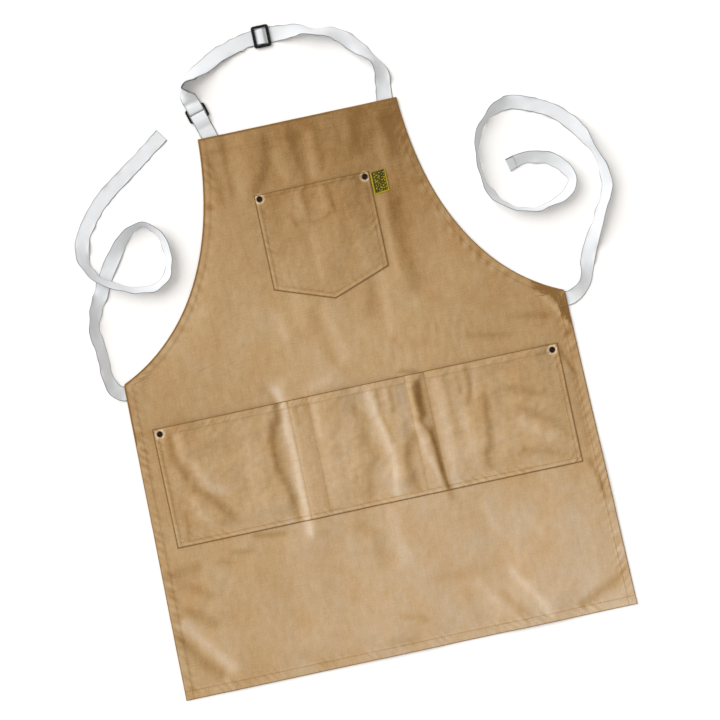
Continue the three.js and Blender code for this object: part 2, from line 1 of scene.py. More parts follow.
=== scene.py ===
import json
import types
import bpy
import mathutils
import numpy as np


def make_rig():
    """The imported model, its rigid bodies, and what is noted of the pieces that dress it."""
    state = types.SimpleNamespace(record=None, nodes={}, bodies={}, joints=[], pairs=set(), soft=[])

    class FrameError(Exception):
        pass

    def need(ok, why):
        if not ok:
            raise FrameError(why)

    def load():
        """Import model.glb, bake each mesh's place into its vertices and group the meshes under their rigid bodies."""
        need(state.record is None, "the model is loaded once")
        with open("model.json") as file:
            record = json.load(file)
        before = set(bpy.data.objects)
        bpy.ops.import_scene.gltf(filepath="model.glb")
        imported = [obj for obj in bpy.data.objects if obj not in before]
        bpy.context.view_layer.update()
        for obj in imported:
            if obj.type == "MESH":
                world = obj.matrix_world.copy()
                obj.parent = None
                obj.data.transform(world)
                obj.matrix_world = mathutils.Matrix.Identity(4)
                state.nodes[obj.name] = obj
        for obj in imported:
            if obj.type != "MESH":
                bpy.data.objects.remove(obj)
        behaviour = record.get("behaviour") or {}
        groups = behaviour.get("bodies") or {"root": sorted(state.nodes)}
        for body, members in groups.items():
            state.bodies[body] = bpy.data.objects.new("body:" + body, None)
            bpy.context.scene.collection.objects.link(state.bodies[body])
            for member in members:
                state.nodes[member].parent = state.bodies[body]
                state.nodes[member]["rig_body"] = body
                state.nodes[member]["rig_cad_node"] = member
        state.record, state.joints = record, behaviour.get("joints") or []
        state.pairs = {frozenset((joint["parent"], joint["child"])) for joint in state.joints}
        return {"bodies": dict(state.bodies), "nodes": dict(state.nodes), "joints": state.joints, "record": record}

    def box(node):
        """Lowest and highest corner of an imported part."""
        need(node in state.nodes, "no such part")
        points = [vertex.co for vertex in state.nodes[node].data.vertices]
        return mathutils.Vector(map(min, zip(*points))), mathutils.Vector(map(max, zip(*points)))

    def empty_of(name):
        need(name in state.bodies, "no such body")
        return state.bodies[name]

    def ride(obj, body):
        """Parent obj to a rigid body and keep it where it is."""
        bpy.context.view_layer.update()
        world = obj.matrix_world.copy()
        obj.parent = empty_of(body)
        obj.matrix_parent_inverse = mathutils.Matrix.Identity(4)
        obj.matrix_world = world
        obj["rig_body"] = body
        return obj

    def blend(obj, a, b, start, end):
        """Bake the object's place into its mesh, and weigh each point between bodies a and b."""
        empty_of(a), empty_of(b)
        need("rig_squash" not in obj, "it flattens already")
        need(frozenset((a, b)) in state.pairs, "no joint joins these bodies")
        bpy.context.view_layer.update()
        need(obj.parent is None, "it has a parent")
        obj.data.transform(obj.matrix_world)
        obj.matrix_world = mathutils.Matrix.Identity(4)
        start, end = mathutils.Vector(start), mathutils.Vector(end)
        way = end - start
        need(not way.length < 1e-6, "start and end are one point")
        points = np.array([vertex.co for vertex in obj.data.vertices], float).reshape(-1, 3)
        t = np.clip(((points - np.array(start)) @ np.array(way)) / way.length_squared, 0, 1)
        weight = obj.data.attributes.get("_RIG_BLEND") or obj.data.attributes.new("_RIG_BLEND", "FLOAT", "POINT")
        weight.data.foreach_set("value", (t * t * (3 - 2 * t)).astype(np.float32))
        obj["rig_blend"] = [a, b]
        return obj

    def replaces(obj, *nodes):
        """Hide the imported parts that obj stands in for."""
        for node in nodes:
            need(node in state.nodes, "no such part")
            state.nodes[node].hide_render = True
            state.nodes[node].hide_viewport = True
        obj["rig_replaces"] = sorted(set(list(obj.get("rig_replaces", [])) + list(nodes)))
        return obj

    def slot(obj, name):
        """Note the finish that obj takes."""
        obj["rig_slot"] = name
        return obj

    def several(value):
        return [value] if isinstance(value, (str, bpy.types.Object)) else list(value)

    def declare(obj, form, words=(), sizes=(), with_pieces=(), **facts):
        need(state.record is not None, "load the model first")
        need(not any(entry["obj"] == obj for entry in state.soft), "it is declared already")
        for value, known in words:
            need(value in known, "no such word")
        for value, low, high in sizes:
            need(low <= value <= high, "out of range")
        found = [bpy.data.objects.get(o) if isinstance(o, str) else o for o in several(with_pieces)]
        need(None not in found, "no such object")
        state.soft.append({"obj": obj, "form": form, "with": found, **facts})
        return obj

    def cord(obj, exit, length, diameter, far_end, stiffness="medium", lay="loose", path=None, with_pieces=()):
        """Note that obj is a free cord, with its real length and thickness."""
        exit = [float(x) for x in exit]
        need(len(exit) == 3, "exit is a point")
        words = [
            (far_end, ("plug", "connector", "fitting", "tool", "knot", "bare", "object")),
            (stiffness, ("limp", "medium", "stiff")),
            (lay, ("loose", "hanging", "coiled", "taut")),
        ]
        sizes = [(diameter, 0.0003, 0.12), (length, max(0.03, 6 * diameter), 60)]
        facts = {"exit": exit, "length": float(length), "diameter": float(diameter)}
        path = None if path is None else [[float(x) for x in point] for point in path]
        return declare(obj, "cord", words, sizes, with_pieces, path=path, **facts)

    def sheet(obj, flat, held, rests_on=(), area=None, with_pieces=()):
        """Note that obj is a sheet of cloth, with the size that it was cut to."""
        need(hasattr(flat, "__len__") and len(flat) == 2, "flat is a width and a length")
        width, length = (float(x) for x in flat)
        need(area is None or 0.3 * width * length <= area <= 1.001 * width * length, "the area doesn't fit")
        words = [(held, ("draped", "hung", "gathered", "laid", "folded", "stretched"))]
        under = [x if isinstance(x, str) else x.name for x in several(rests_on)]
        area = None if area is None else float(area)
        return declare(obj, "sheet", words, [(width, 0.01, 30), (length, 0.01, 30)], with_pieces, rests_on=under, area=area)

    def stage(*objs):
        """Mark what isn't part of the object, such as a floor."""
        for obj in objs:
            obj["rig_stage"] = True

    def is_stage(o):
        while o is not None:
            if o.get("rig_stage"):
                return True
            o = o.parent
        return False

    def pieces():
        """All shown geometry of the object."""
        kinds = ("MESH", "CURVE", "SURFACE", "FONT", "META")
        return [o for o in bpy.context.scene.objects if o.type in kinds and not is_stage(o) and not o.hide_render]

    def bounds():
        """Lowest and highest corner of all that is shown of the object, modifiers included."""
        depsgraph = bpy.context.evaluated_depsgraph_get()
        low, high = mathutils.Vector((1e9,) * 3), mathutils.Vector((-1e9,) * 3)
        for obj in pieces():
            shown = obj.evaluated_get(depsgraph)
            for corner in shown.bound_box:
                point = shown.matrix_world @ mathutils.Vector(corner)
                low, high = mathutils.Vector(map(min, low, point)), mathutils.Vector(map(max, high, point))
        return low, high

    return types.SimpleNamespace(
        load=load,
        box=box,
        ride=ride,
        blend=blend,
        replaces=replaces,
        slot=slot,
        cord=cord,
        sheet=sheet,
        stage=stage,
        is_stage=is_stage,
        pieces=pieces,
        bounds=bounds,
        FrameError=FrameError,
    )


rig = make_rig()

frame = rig.load()
CAD_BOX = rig.bounds()

# An artist's smock apron laid flat, face up. Metres; +X is the viewer's right, +Y runs to the bib, +Z is up.
# Cloth is made as height fields over the imported panel and pockets, and tape as ribbons along their routes. A
# height field sums smooth random bumps, listed folds and the puckers that seams draw up.
import json
import math
import random

import bpy
import numpy as np
from mathutils import Matrix, Vector
from mathutils.bvhtree import BVHTree

MM = 0.001

# Driving sizes, read from the frame where a node shows them.
PANEL_LOW, PANEL_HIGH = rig.box("apron_panel")
SKIRT_HALF = PANEL_HIGH.x
TOP_Y = PANEL_HIGH.y
BOTTOM_Y = PANEL_LOW.y
WAIST_CORNER = np.array([0.335, 0.073])
ARMHOLE = np.array([WAIST_CORNER, [0.205, 0.13], [0.157, 0.27], [0.151, TOP_Y]])
SIDE_HEM = 0.014
BOTTOM_HEM = 0.015
TOP_HEM = 0.025
ARM_HEM = 0.012
HEM_SEAM = 0.0018  # how far a row of stitches is inside the side and armhole hems' inner edge
LEVEL_SEAM = 0.002  # the same for the top and bottom hems
CLOTH = 0.0009
FOLDED = 0.0005  # how much a folded hem adds
POCKET_CLOTH = 0.0007
POCKET_FOLDED = 0.0004
POCKET_HEM = 0.0088
SEAM_LINES = (0.0017, 0.0075)  # the two rows of stitches round a pocket, from its edge
CHEST_LOW, CHEST_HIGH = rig.box("chest_pocket")
CHEST_HALF = CHEST_HIGH.x
CHEST_MOUTH = CHEST_HIGH.y
CHEST_PEAK = CHEST_LOW.y
CHEST_CORNER = 0.163
CHEST_MOUTH_HEM = 0.0064
CHEST_MOUTH_SEAM = 0.0052
WAIST_LOW, WAIST_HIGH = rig.box("waist_pocket")
WAIST_HALF = WAIST_HIGH.x
WAIST_MOUTH = WAIST_HIGH.y
WAIST_BOTTOM = WAIST_LOW.y
WAIST_MOUTH_HEM = 0.0125
WAIST_MOUTH_SEAM = 0.0112
DIVIDERS = (-0.103, -0.074, 0.074, 0.103)
NECK_WIDTH = 0.0246
TIE_WIDTH = 0.022
TAPE = 0.0008
FLOOR_CLEAR = 0.0001
SLIDER = Vector((-0.0265, 0.536, 0))
RING = Vector((-0.1435, 0.4445, 0.0029))
RING_HEADING = math.radians(106)
TAB_ROOT = 0.04
TIE_ROOTS = ((-0.329, 0.06), (0.329, 0.06))
NECK_ROOTS = ((0.1335, 0.3985, 90), (-0.1312, 0.4017, 106))
RIVETS = {
    "chest_rivet_left": (-0.08, 0.3),
    "chest_rivet_right": (0.08, 0.3),
    "waist_rivet_left": (-0.298, -0.01),
    "waist_rivet_right": (0.298, -0.01),
}
LABEL_PLACE = (0.1, 0.2875)

AWAY = (0.78, -0.63)  # the way from the sun across the cloth
CLIMB = 0.235  # slope of a fold of strength 1
PAINTED_SLOPE_LIGHT = 0.22  # painted light on a fold's sunward slope at strength 1, and painted shade where the strength is negative


# Small helpers

def step(x):
    """A smooth step from 0 to 1."""
    x = np.clip(x, 0, 1)
    return x * x * (3 - 2 * x)


def hump(x, reach):
    """1 where x is 0, falling to 0 on both sides over about reach."""
    return np.exp(-(x / reach) ** 2)


def run_along(points):
    """How far along a row of points each of them is."""
    return np.concatenate([[0], np.cumsum(np.linalg.norm(np.diff(points, axis=0), axis=1))])


def turns_of(count):
    """The angles of even steps round a circle."""
    return [2 * math.pi * k / count for k in range(count)]


def ripples(x, y, length, seed, waves=14, stretch=(1.0, 1.0)):
    """A smooth random field of about unit size whose bumps are about length apart."""
    rng = np.random.default_rng(seed)
    total = np.zeros(np.broadcast(x, y).shape)
    for _ in range(waves):
        turn, phase = rng.uniform(0, 2 * math.pi, 2)
        pitch = length * rng.uniform(0.7, 1.5)
        run = math.cos(turn) * x / stretch[0] + math.sin(turn) * y / stretch[1]
        total = total + np.cos(2 * math.pi * run / pitch + phase)
    return total * math.sqrt(2 / waves)


def from_line(x, y, points):
    """Distance to a polyline, how much of it is beyond the line's ends, and 1 or -1 for left or right."""
    best = np.full(np.shape(x), 1e9)
    side, beyond = np.zeros(np.shape(x)), np.zeros(np.shape(x))
    last = len(points) - 2
    for i, ((ax, ay), (bx, by)) in enumerate(zip(points, points[1:])):
        dx, dy = bx - ax, by - ay
        length = math.hypot(dx, dy)
        t = ((x - ax) * dx + (y - ay) * dy) / length ** 2
        held = np.clip(t, 0, 1)
        away = np.hypot(x - ax - held * dx, y - ay - held * dy)
        over = np.where((t < 0) & (i == 0) | (t > 1) & (i == last), np.abs(t - held) * length, 0)
        nearer = away < best
        best = np.where(nearer, away, best)
        side = np.where(nearer, np.sign(dx * (y - ay) - dy * (x - ax)), side)
        beyond = np.where(nearer, over, beyond)
    return best, beyond, side


def ridges(x, y, rows):
    """The sum of ridges, each (height, half width, points), all in millimetres."""
    total = np.zeros(np.shape(x))
    for height, width, points in rows:
        away, _, _ = from_line(x, y, [(a * MM, b * MM) for a, b in points])
        total = total + height * MM * np.exp(-np.power(away / (width * MM), 1.7))
    return total


def folds(x, y, rows):
    """Bands of slope, each (strength, half width, points), widths and points in millimetres.
    On its way from the sun the cloth climbs across a band, or falls where the strength is negative. It levels
    out slowly on both sides. Returns the lift, and the painted light and shade on the slopes: paler where a slope
    faces the sun, darker where it faces away."""
    lift, painted_light_and_shade = np.zeros(np.shape(x)), np.zeros(np.shape(x))
    for strength, width, points in rows:
        (ax, ay), (bx, by) = points[0], points[-1]
        climbs_left = math.copysign(1, AWAY[0] * (ay - by) + AWAY[1] * (bx - ax))
        away, beyond, side = from_line(x, y, [(a * MM, b * MM) for a, b in points])
        wide = width * MM
        run = climbs_left * side * np.sqrt(np.maximum(away ** 2 - beyond ** 2, 0)) / wide
        ends = hump(beyond, 1.3 * wide)
        lift = lift + CLIMB * strength * wide * np.tanh(run) * np.exp(-np.abs(run / 4.5) ** 1.5) * ends
        # painted light and shade: paler on the slope facing the sun, darker on the one facing away
        painted_light_and_shade = painted_light_and_shade + PAINTED_SLOPE_LIGHT * strength * np.exp(-run ** 2) * ends
    return lift, painted_light_and_shade


def mesh_object(name, vertices, faces, smooth=True):
    """An object with a mesh, linked into the scene."""
    mesh = bpy.data.meshes.new(name)
    mesh.from_pydata([tuple(v) for v in vertices], [], faces)
    mesh.update()
    obj = bpy.data.objects.new(name, mesh)
    bpy.context.scene.collection.objects.link(obj)
    if smooth:
        mesh.polygons.foreach_set("use_smooth", [True] * len(mesh.polygons))
    return obj


def weave_map(obj, places):
    """A UV map in metres on the flat cloth."""
    layer = obj.data.uv_layers.new(name="cloth")
    loops = np.zeros(len(obj.data.loops), dtype=np.int32)
    obj.data.loops.foreach_get("vertex_index", loops)
    layer.data.foreach_set("uv", np.asarray(places, dtype=np.float32)[loops].ravel())


def shade(obj, values, name="shade"):
    """A value at each vertex, for the object's material."""
    layer = obj.data.attributes.new(name, "FLOAT", "POINT")
    layer.data.foreach_set("value", np.asarray(values, np.float32).ravel())


def tube_faces(first, count, loop, size):
    """Faces of a closed tube: count sections of size points, joined in loop's order, and its two ends."""
    faces = []
    for i in range(count - 1):
        a = first + i * size
        for p, q in zip(loop, loop[1:] + loop[:1]):
            faces.append((a + p, a + q, a + size + q, a + size + p))
    faces.append(tuple(first + p for p in reversed(loop)))
    faces.append(tuple(first + (count - 1) * size + p for p in loop))
    return faces


# Camera

def make_camera():
    data = bpy.data.cameras.new("camera")
    data.lens = 85
    data.sensor_width = 36
    field = 1.071  # width of the view at the table, in metres
    turn = -12.16  # how far the apron lies turned in the view, in degrees
    camera = bpy.data.objects.new("camera", data)
    camera.location = (0.0159, 0.0351, field * data.lens / data.sensor_width)
    camera.rotation_euler = (0, 0, math.radians(turn))
    bpy.context.scene.collection.objects.link(camera)
    bpy.context.scene.camera = camera


# Tape

class Path:
    """A centripetal Catmull-Rom curve through stations, each a point and the direction across the tape."""

    def __init__(self, stations):
        self.points = [np.array(p, float) for p, _ in stations]
        self.across = [np.array(a, float) for _, a in stations]

    def between(self, values, i, u, even):
        """The value at a fraction u of the way from station i to the next."""
        n = len(values)
        b, c = values[i], values[i + 1]
        a = values[i - 1] if i > 0 else 2 * b - c
        d = values[i + 2] if i + 2 < n else 2 * c - b
        if even:
            gaps = [1.0, 1.0, 1.0]
        else:
            gaps = [max(math.sqrt(np.linalg.norm(q - p)), 1e-5) for p, q in ((a, b), (b, c), (c, d))]
        g0, g1, g2 = gaps
        t1 = ((b - a) / g0 - (c - a) / (g0 + g1) + (c - b) / g1) * g1
        t2 = ((c - b) / g1 - (d - b) / (g1 + g2) + (d - c) / g2) * g1
        return b + u * (t1 + u * (3 * (c - b) - 2 * t1 - t2 + u * (2 * (b - c) + t1 + t2)))

    def sample(self, gap, start=0.0, end=None):
        """Evenly spaced points, tangents, across directions and normals between two stations."""
        last = len(self.points) - 1
        end = last if end is None else end
        fine = np.linspace(start, end, int((end - start) * 40) + 2)
        spots, cross = [], []
        for t in fine:
            i = min(int(t), last - 1)
            spots.append(self.between(self.points, i, t - i, False))
            cross.append(self.between(self.across, i, t - i, True))
        spots, cross = np.array(spots), np.array(cross)
        run = run_along(spots)
        count = max(int(round(run[-1] / gap)), 2)
        at = np.linspace(0, run[-1], count + 1)
        point = np.stack([np.interp(at, run, spots[:, k]) for k in range(3)], 1)
        side = np.stack([np.interp(at, run, cross[:, k]) for k in range(3)], 1)
        along = np.gradient(point, axis=0)
        along /= np.linalg.norm(along, axis=1)[:, None]
        side -= along * np.sum(side * along, axis=1)[:, None]
        side /= np.linalg.norm(side, axis=1)[:, None]
        return {"at": at, "point": point, "along": along, "across": side, "up": np.cross(along, side)}


def route_stations(route, width, extra=0.0):
    """Stations along a route over the table. The tape's lower edge stays down on it."""
    plan = [np.array(row[:2]) for row in route]
    stations = []
    for i, (x, y, roll, *lifted) in enumerate(route):
        raised = sum(lifted)
        heading = plan[min(i + 1, len(plan) - 1)] - plan[max(i - 1, 0)]
        hx, hy = heading / np.linalg.norm(heading)
        turn = math.radians(roll)
        low = width / 2 * abs(math.sin(turn)) + TAPE / 2 * abs(math.cos(turn))
        across = (-hy * math.cos(turn), hx * math.cos(turn), math.sin(turn))
        stations.append(((x, y, FLOOR_CLEAR + low + raised + extra), across))
    return stations


def fold_stations(points, place, heading):
    """Stations of a fold round a bar at a place, from rows of distance along a heading and height."""
    hx, hy = math.cos(heading), math.sin(heading)
    return [((place.x + s * hx, place.y + s * hy, z), (-hy, hx, 0.0)) for s, z in points]


def layer_of(stations, offset):
    """Stations moved along the tape's own normal, for one of two layers that lie on each other."""
    moved = []
    for i, (point, across) in enumerate(stations):
        before = np.array(stations[max(i - 1, 0)][0])
        after = np.array(stations[min(i + 1, len(stations) - 1)][0])
        up = np.cross(after - before, across)
        moved.append((np.array(point) + offset * up / np.linalg.norm(up), across))
    return moved


# Where a ribbon's mesh has points across it, from edge to edge.
EDGES = np.array([-1, -0.985, -0.94, -0.86, -0.7, -0.5, -0.25, 0, 0.25, 0.5, 0.7, 0.86, 0.94, 0.985, 1])
SELVEDGE = 0.94  # where its thick edge is
RIBBON = 0.0007  # its thickness between the edges


def ribbon(name, frames, width, seed, curl, ripple, calm, pull=0.3):
    """A woven tape along frames: a closed mesh with thick selvedges, cupped and rippled, most at its edges.
    calm is how far it stays flat at each end, and pull how far, in millimetres, its edges are drawn in."""
    at = frames["at"]
    n, m = len(at), len(EDGES)
    length = at[-1]
    quiet = np.ones(n)
    for reach, distance in zip(calm, (at, length - at)):
        if reach:
            quiet *= step(distance / reach)
    zero = np.zeros(n)
    cup = curl * (0.6 + 0.8 * ripples(at, zero, 0.07, seed)) * quiet
    wave = [ripple * ripples(at, zero, 0.034, seed + side, 7) * quiet for side in (1, 2)]
    inset = [pull * MM * np.abs(ripples(at, zero, 0.03, seed + side, 7)) * quiet for side in (3, 4)]
    sway = 0.0004 * ripples(at, zero, 0.05, seed + 5, 8) * quiet
    tops, bottoms = [], []
    for u in EDGES:
        side = 0 if u < 0 else 1
        edge = max(0.0, abs(u) - 0.35) / 0.65
        lift = cup * (u * u - 0.3) + wave[side] * edge ** 2 + sway
        reach = u * width / 2 - math.copysign(1, u) * inset[side] * edge ** 3
        selvedge = (abs(u) - SELVEDGE) / 0.06
        bead = RIBBON / 2 * (1 + 0.35 * math.exp(-selvedge ** 2))
        half = bead * math.sqrt(max(0.02, 1 - max(0.0, selvedge) ** 2))
        middle = frames["point"] + frames["across"] * reach[:, None] + frames["up"] * lift[:, None]
        for rows, sign in ((tops, 1), (bottoms, -1)):
            row = middle + sign * half * frames["up"]
            row[:, 2] = np.maximum(row[:, 2], FLOOR_CLEAR + (half if sign > 0 else -half) * 0.9 + half)
            rows.append(row)
    grid = np.array([tops, bottoms])  # face, across, along
    vertices = grid.transpose(2, 0, 1, 3).reshape(-1, 3)
    loop = list(range(m)) + list(range(2 * m - 1, m - 1, -1))
    obj = mesh_object(name, vertices, tube_faces(0, n, loop, 2 * m))
    for cap in obj.data.polygons[-2:]:
        cap.use_smooth = False
    places = np.tile(EDGES, 2 * n)
    weave_map(obj, np.stack([places * width / 2, np.repeat(at, 2 * m)], 1))
    shade(obj, np.abs(places), "edge")
    return obj


# Routes over the table: x, y, roll in degrees and, where the tape is raised, by how much.
NECK_RIGHT_ROUTE = [
    [0.1335, 0.395, 0], [0.1335, 0.402, 0], [0.1335, 0.409, 0], [0.1355, 0.43, 12], [0.136, 0.45, 35],
    [0.131, 0.465, 55], [0.12, 0.478, 40], [0.103, 0.498, 15], [0.082, 0.516, 30], [0.051, 0.526, 60],
    [0.022, 0.5335, 25],
]
NECK_LEFT_ROUTE = [
    [-0.05, 0.534, 0], [-0.07, 0.53, 4], [-0.095, 0.522, 10], [-0.118, 0.51, 18], [-0.138, 0.5005, 40],
    [-0.153, 0.492, 70], [-0.1585, 0.4825, 78], [-0.1552, 0.475, 58, 0.0008],
    [-0.151, 0.4678, 24, 0.0016],
]
# Folds round a bar: distance from it along the tape's heading, and height.
OVER_CENTRE_BAR = [
    [-0.016, 0.0006], [-0.008, 0.0009], [-0.0055, 0.0022], [-0.0042, 0.0042], [-0.0028, 0.0055],
    [0, 0.00575], [0.0028, 0.0055], [0.0043, 0.0042], [0.0058, 0.0026], [0.0085, 0.0019],
]
ROUND_CENTRE_BAR = [
    [0.008, 0.0005], [0.004, 0.0007], [0.0015, 0.0013], [-0.0015, 0.0015], [-0.00295, 0.0022],
    [-0.0031, 0.0032], [-0.0026, 0.0042], [-0.0014, 0.0046], [0.0015, 0.0046],
]
ROUND_RING_BAR = [
    [-0.0125, 0.0046], [-0.0095, 0.0051], [-0.006, 0.0049], [-0.003, 0.0042], [-0.0016, 0.0032],
    [-0.0016, 0.0022], [-0.003, 0.001], [-0.006, 0.0005], [-0.0125, 0.0005],
]
LEFT_TIE_ROUTE = [
    [-0.325, 0.06, 0], [-0.332, 0.06, 0], [-0.339, 0.06, 0], [-0.348, 0.066, 25], [-0.354, 0.08, 45],
    [-0.3555, 0.1, 50], [-0.356, 0.127, 45], [-0.3595, 0.152, 48], [-0.358, 0.172, 50],
    [-0.3495, 0.194, 30], [-0.339, 0.213, 5], [-0.331, 0.23, 0], [-0.3147, 0.254, 10],
    [-0.296, 0.277, 35], [-0.276, 0.294, 62], [-0.256, 0.299, 72], [-0.239, 0.286, 66],
    [-0.2305, 0.266, 60], [-0.2294, 0.245, 55], [-0.2335, 0.222, 58], [-0.2518, 0.2065, 55],
    [-0.271, 0.2035, 58], [-0.291, 0.207, 62, 0.0005], [-0.311, 0.216, 62, 0.0022],
    [-0.33, 0.227, 62, 0.0026], [-0.344, 0.238, 62, 0.0015], [-0.3515, 0.254, 50], [-0.354, 0.274, 25],
    [-0.3495, 0.296, 5], [-0.338, 0.315, 0], [-0.321, 0.336, 0], [-0.301, 0.3546, 0],
    [-0.2564, 0.3857, 0], [-0.224, 0.4086, 0], [-0.202, 0.424, 0],
]
RIGHT_TIE_ROUTE = [
    [0.325, 0.06, 0], [0.332, 0.06, 0], [0.339, 0.06, 0], [0.352, 0.065, 15], [0.364, 0.075, 30],
    [0.371, 0.088, 25], [0.379, 0.112, 0], [0.393, 0.141, -25], [0.409, 0.17, -50], [0.423, 0.197, -50],
    [0.43, 0.216, -45], [0.4275, 0.24, -62], [0.42, 0.27, -75], [0.409, 0.296, -35], [0.391, 0.321, -5],
    [0.368, 0.341, 0], [0.34, 0.355, 0], [0.314, 0.363, -12], [0.292, 0.359, -45], [0.272, 0.344, -65],
    [0.256, 0.323, -62], [0.2495, 0.298, -75], [0.2505, 0.265, -72], [0.259, 0.235, -55],
    [0.277, 0.213, -70], [0.304, 0.201, -70], [0.333, 0.199, -68], [0.357, 0.206, -55],
    [0.374, 0.217, -50], [0.381, 0.232, -60], [0.374, 0.25, -42], [0.357, 0.266, -35],
    [0.333, 0.276, -38], [0.3095, 0.276, -40], [0.291, 0.2715, -32],
]
TAB_ROUTE = [
    [-0.012, 0.0005], [0.01, 0.0005], [0.026, 0.0005], [0.034, 0.0005], [0.0372, 0.00115],
    [0.0387, 0.0024], [0.0387, 0.0034], [0.0372, 0.0046], [0.0339, 0.0051], [0.0272, 0.0051],
    [0.0223, 0.0037], [0.0165, 0.0014], [0.01, 0.0013], [-0.012, 0.0013],
]
TAPE_GAP = 0.0015  # spacing of a tape's stations
LAYER = 0.0007  # half the spacing of the neck tape's two layers


def path_of(frames):
    """Every sixth station and the last, for a cord's record."""
    return [tuple(p) for p in (*frames["point"][::6], frames["point"][-1])]


def make_neck_tape():
    """The neck tape in four pieces that meet under the slider's side bars and on edge beside the ring."""
    right = route_stations(NECK_RIGHT_ROUTE, NECK_WIDTH)
    over = fold_stations(OVER_CENTRE_BAR, SLIDER, math.pi)
    layers = fold_stations([[0.015, 0.0012]], SLIDER, math.pi)
    layers += route_stations(NECK_LEFT_ROUTE, NECK_WIDTH, LAYER)
    layers += fold_stations([[-0.017, 0.0018]], RING, RING_HEADING + math.pi)
    round_ring = fold_stations(ROUND_RING_BAR, RING, RING_HEADING + math.pi)
    returning = layer_of(layers, -LAYER)[::-1]
    round_bar = fold_stations(ROUND_CENTRE_BAR, SLIDER, math.pi)
    whole = Path(right + over + layer_of(layers, LAYER) + round_ring + returning + round_bar)
    under_side_bar = len(right) + 0.62  # the cuts between the pieces, counted in stations
    turn_out = len(right) + len(over) + 6.5
    turn_back = len(whole.points) - len(round_bar) - 7.5
    a = whole.sample(TAPE_GAP, 0, under_side_bar)
    b = whole.sample(TAPE_GAP, under_side_bar, turn_out)
    c = whole.sample(TAPE_GAP, turn_out, turn_back)
    d = whole.sample(TAPE_GAP, turn_back)
    calm = 0.012
    right_tape = ribbon("neck_strap_right", a, NECK_WIDTH, 21, 0.0008, 0.0011, (0.03, calm), 0.7)
    left_tape = ribbon("neck_strap_left", b, NECK_WIDTH, 31, 0.0004, 0.0005, (0.03, calm), 1.1)
    fold = ribbon("neck_strap_ring_fold", c, NECK_WIDTH, 41, 0.0002, 0.0002, (calm, calm))
    back = ribbon("neck_strap_return", d, NECK_WIDTH, 51, 0.0002, 0.0003, (calm, 0.04), 1.4)
    pieces = [right_tape, left_tape, fold, back]
    for piece in pieces:
        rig.replaces(piece, "neck_strap")
        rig.slot(piece, "white_tape")
    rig.blend(right_tape, "apron", "slider", start=(0.105, 0.497, 0), end=(-0.012, 0.536, 0))
    turn = Vector(b["point"][-1])
    for piece in (left_tape, back):
        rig.blend(piece, "apron", "slider", start=tuple(turn), end=(-0.046, 0.534, 0))
    ring_way = Vector((math.cos(RING_HEADING), math.sin(RING_HEADING), 0))
    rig.blend(fold, "apron", "ring", start=tuple(turn), end=tuple(RING + 0.009 * ring_way))
    cords = (
        (right_tape, a, ["slider_moulding"]),
        (left_tape, b, [fold, "ring_moulding", "ring_tab"]),
        (back, d, []),
    )
    for piece, frames, carried in cords:
        length = float(frames["at"][-1])
        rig.cord(
            piece, exit=tuple(frames["point"][0]), length=length, diameter=NECK_WIDTH, far_end="object",
            stiffness="limp", lay="loose", path=path_of(frames), with_pieces=carried,
        )
    return pieces


def make_tie(side, route, seed):
    """A waist tie, with the second ply of the hem at its free end."""
    frames = Path(route_stations(route, TIE_WIDTH)).sample(TAPE_GAP)
    tie = ribbon("waist_tie_" + side, frames, TIE_WIDTH, seed, 0.0007, 0.0009, (0.02, 0.015), 0.6)
    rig.replaces(tie, "tie_" + side)
    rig.slot(tie, "white_tape")
    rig.ride(tie, "apron")
    length = float(frames["at"][-1])
    end = {key: value[-9:] for key, value in frames.items()}
    end = dict(end, at=end["at"] - end["at"][0], point=end["point"] + end["up"] * 0.00085)
    hem = ribbon("waist_tie_hem_" + side, end, TIE_WIDTH * 0.985, seed + 7, 0, 0, (0, 0))
    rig.slot(hem, "white_tape")
    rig.ride(hem, "apron")
    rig.cord(
        tie, exit=tuple(frames["point"][0]), length=length, diameter=TIE_WIDTH, far_end="bare",
        stiffness="limp", lay="loose", path=path_of(frames), with_pieces=[hem],
    )
    return [tie, hem]


def make_tab():
    """The short folded tape that holds the ring."""
    hx, hy = math.cos(RING_HEADING), math.sin(RING_HEADING)
    root = Vector((RING.x - TAB_ROOT * hx, RING.y - TAB_ROOT * hy, 0))
    frames = Path(fold_stations(TAB_ROUTE, root, RING_HEADING)).sample(0.0008)
    tab = ribbon("ring_tab", frames, NECK_WIDTH, 61, 0.0001, 0.0001, (0.01, 0.01))
    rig.replaces(tab, "neck_tab")
    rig.slot(tab, "white_tape")
    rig.ride(tab, "apron")
    return tab


make_camera()
tie_pieces = make_tie("left", LEFT_TIE_ROUTE, 71) + make_tie("right", RIGHT_TIE_ROUTE, 91)
tab = make_tab()


# Cloth

def arm_curve():
    """The right armhole's edge, up from the waist's corner."""
    t = np.linspace(0, 1, 400)[:, None]
    a, b, c, d = ARMHOLE
    return (1 - t) ** 3 * a + 3 * (1 - t) ** 2 * t * b + 3 * (1 - t) * t * t * c + t ** 3 * d


ARM_CURVE = arm_curve()
ARM_SLOPE = np.gradient(ARM_CURVE[:, 0]) / np.gradient(ARM_CURVE[:, 1])
SKIRT_SLOPE = (WAIST_CORNER[0] - SKIRT_HALF) / (WAIST_CORNER[1] - BOTTOM_Y)


def half_width(y):
    """The panel's half width at a height, and how much longer a level run in from its edge is than the
    true distance."""
    above = y > WAIST_CORNER[1]
    skirt = SKIRT_HALF + SKIRT_SLOPE * (y - BOTTOM_Y)
    width = np.where(above, np.interp(y, ARM_CURVE[:, 1], ARM_CURVE[:, 0]), skirt)
    slope = np.where(above, np.interp(y, ARM_CURVE[:, 1], ARM_SLOPE), SKIRT_SLOPE)
    return width, np.sqrt(1 + slope ** 2)


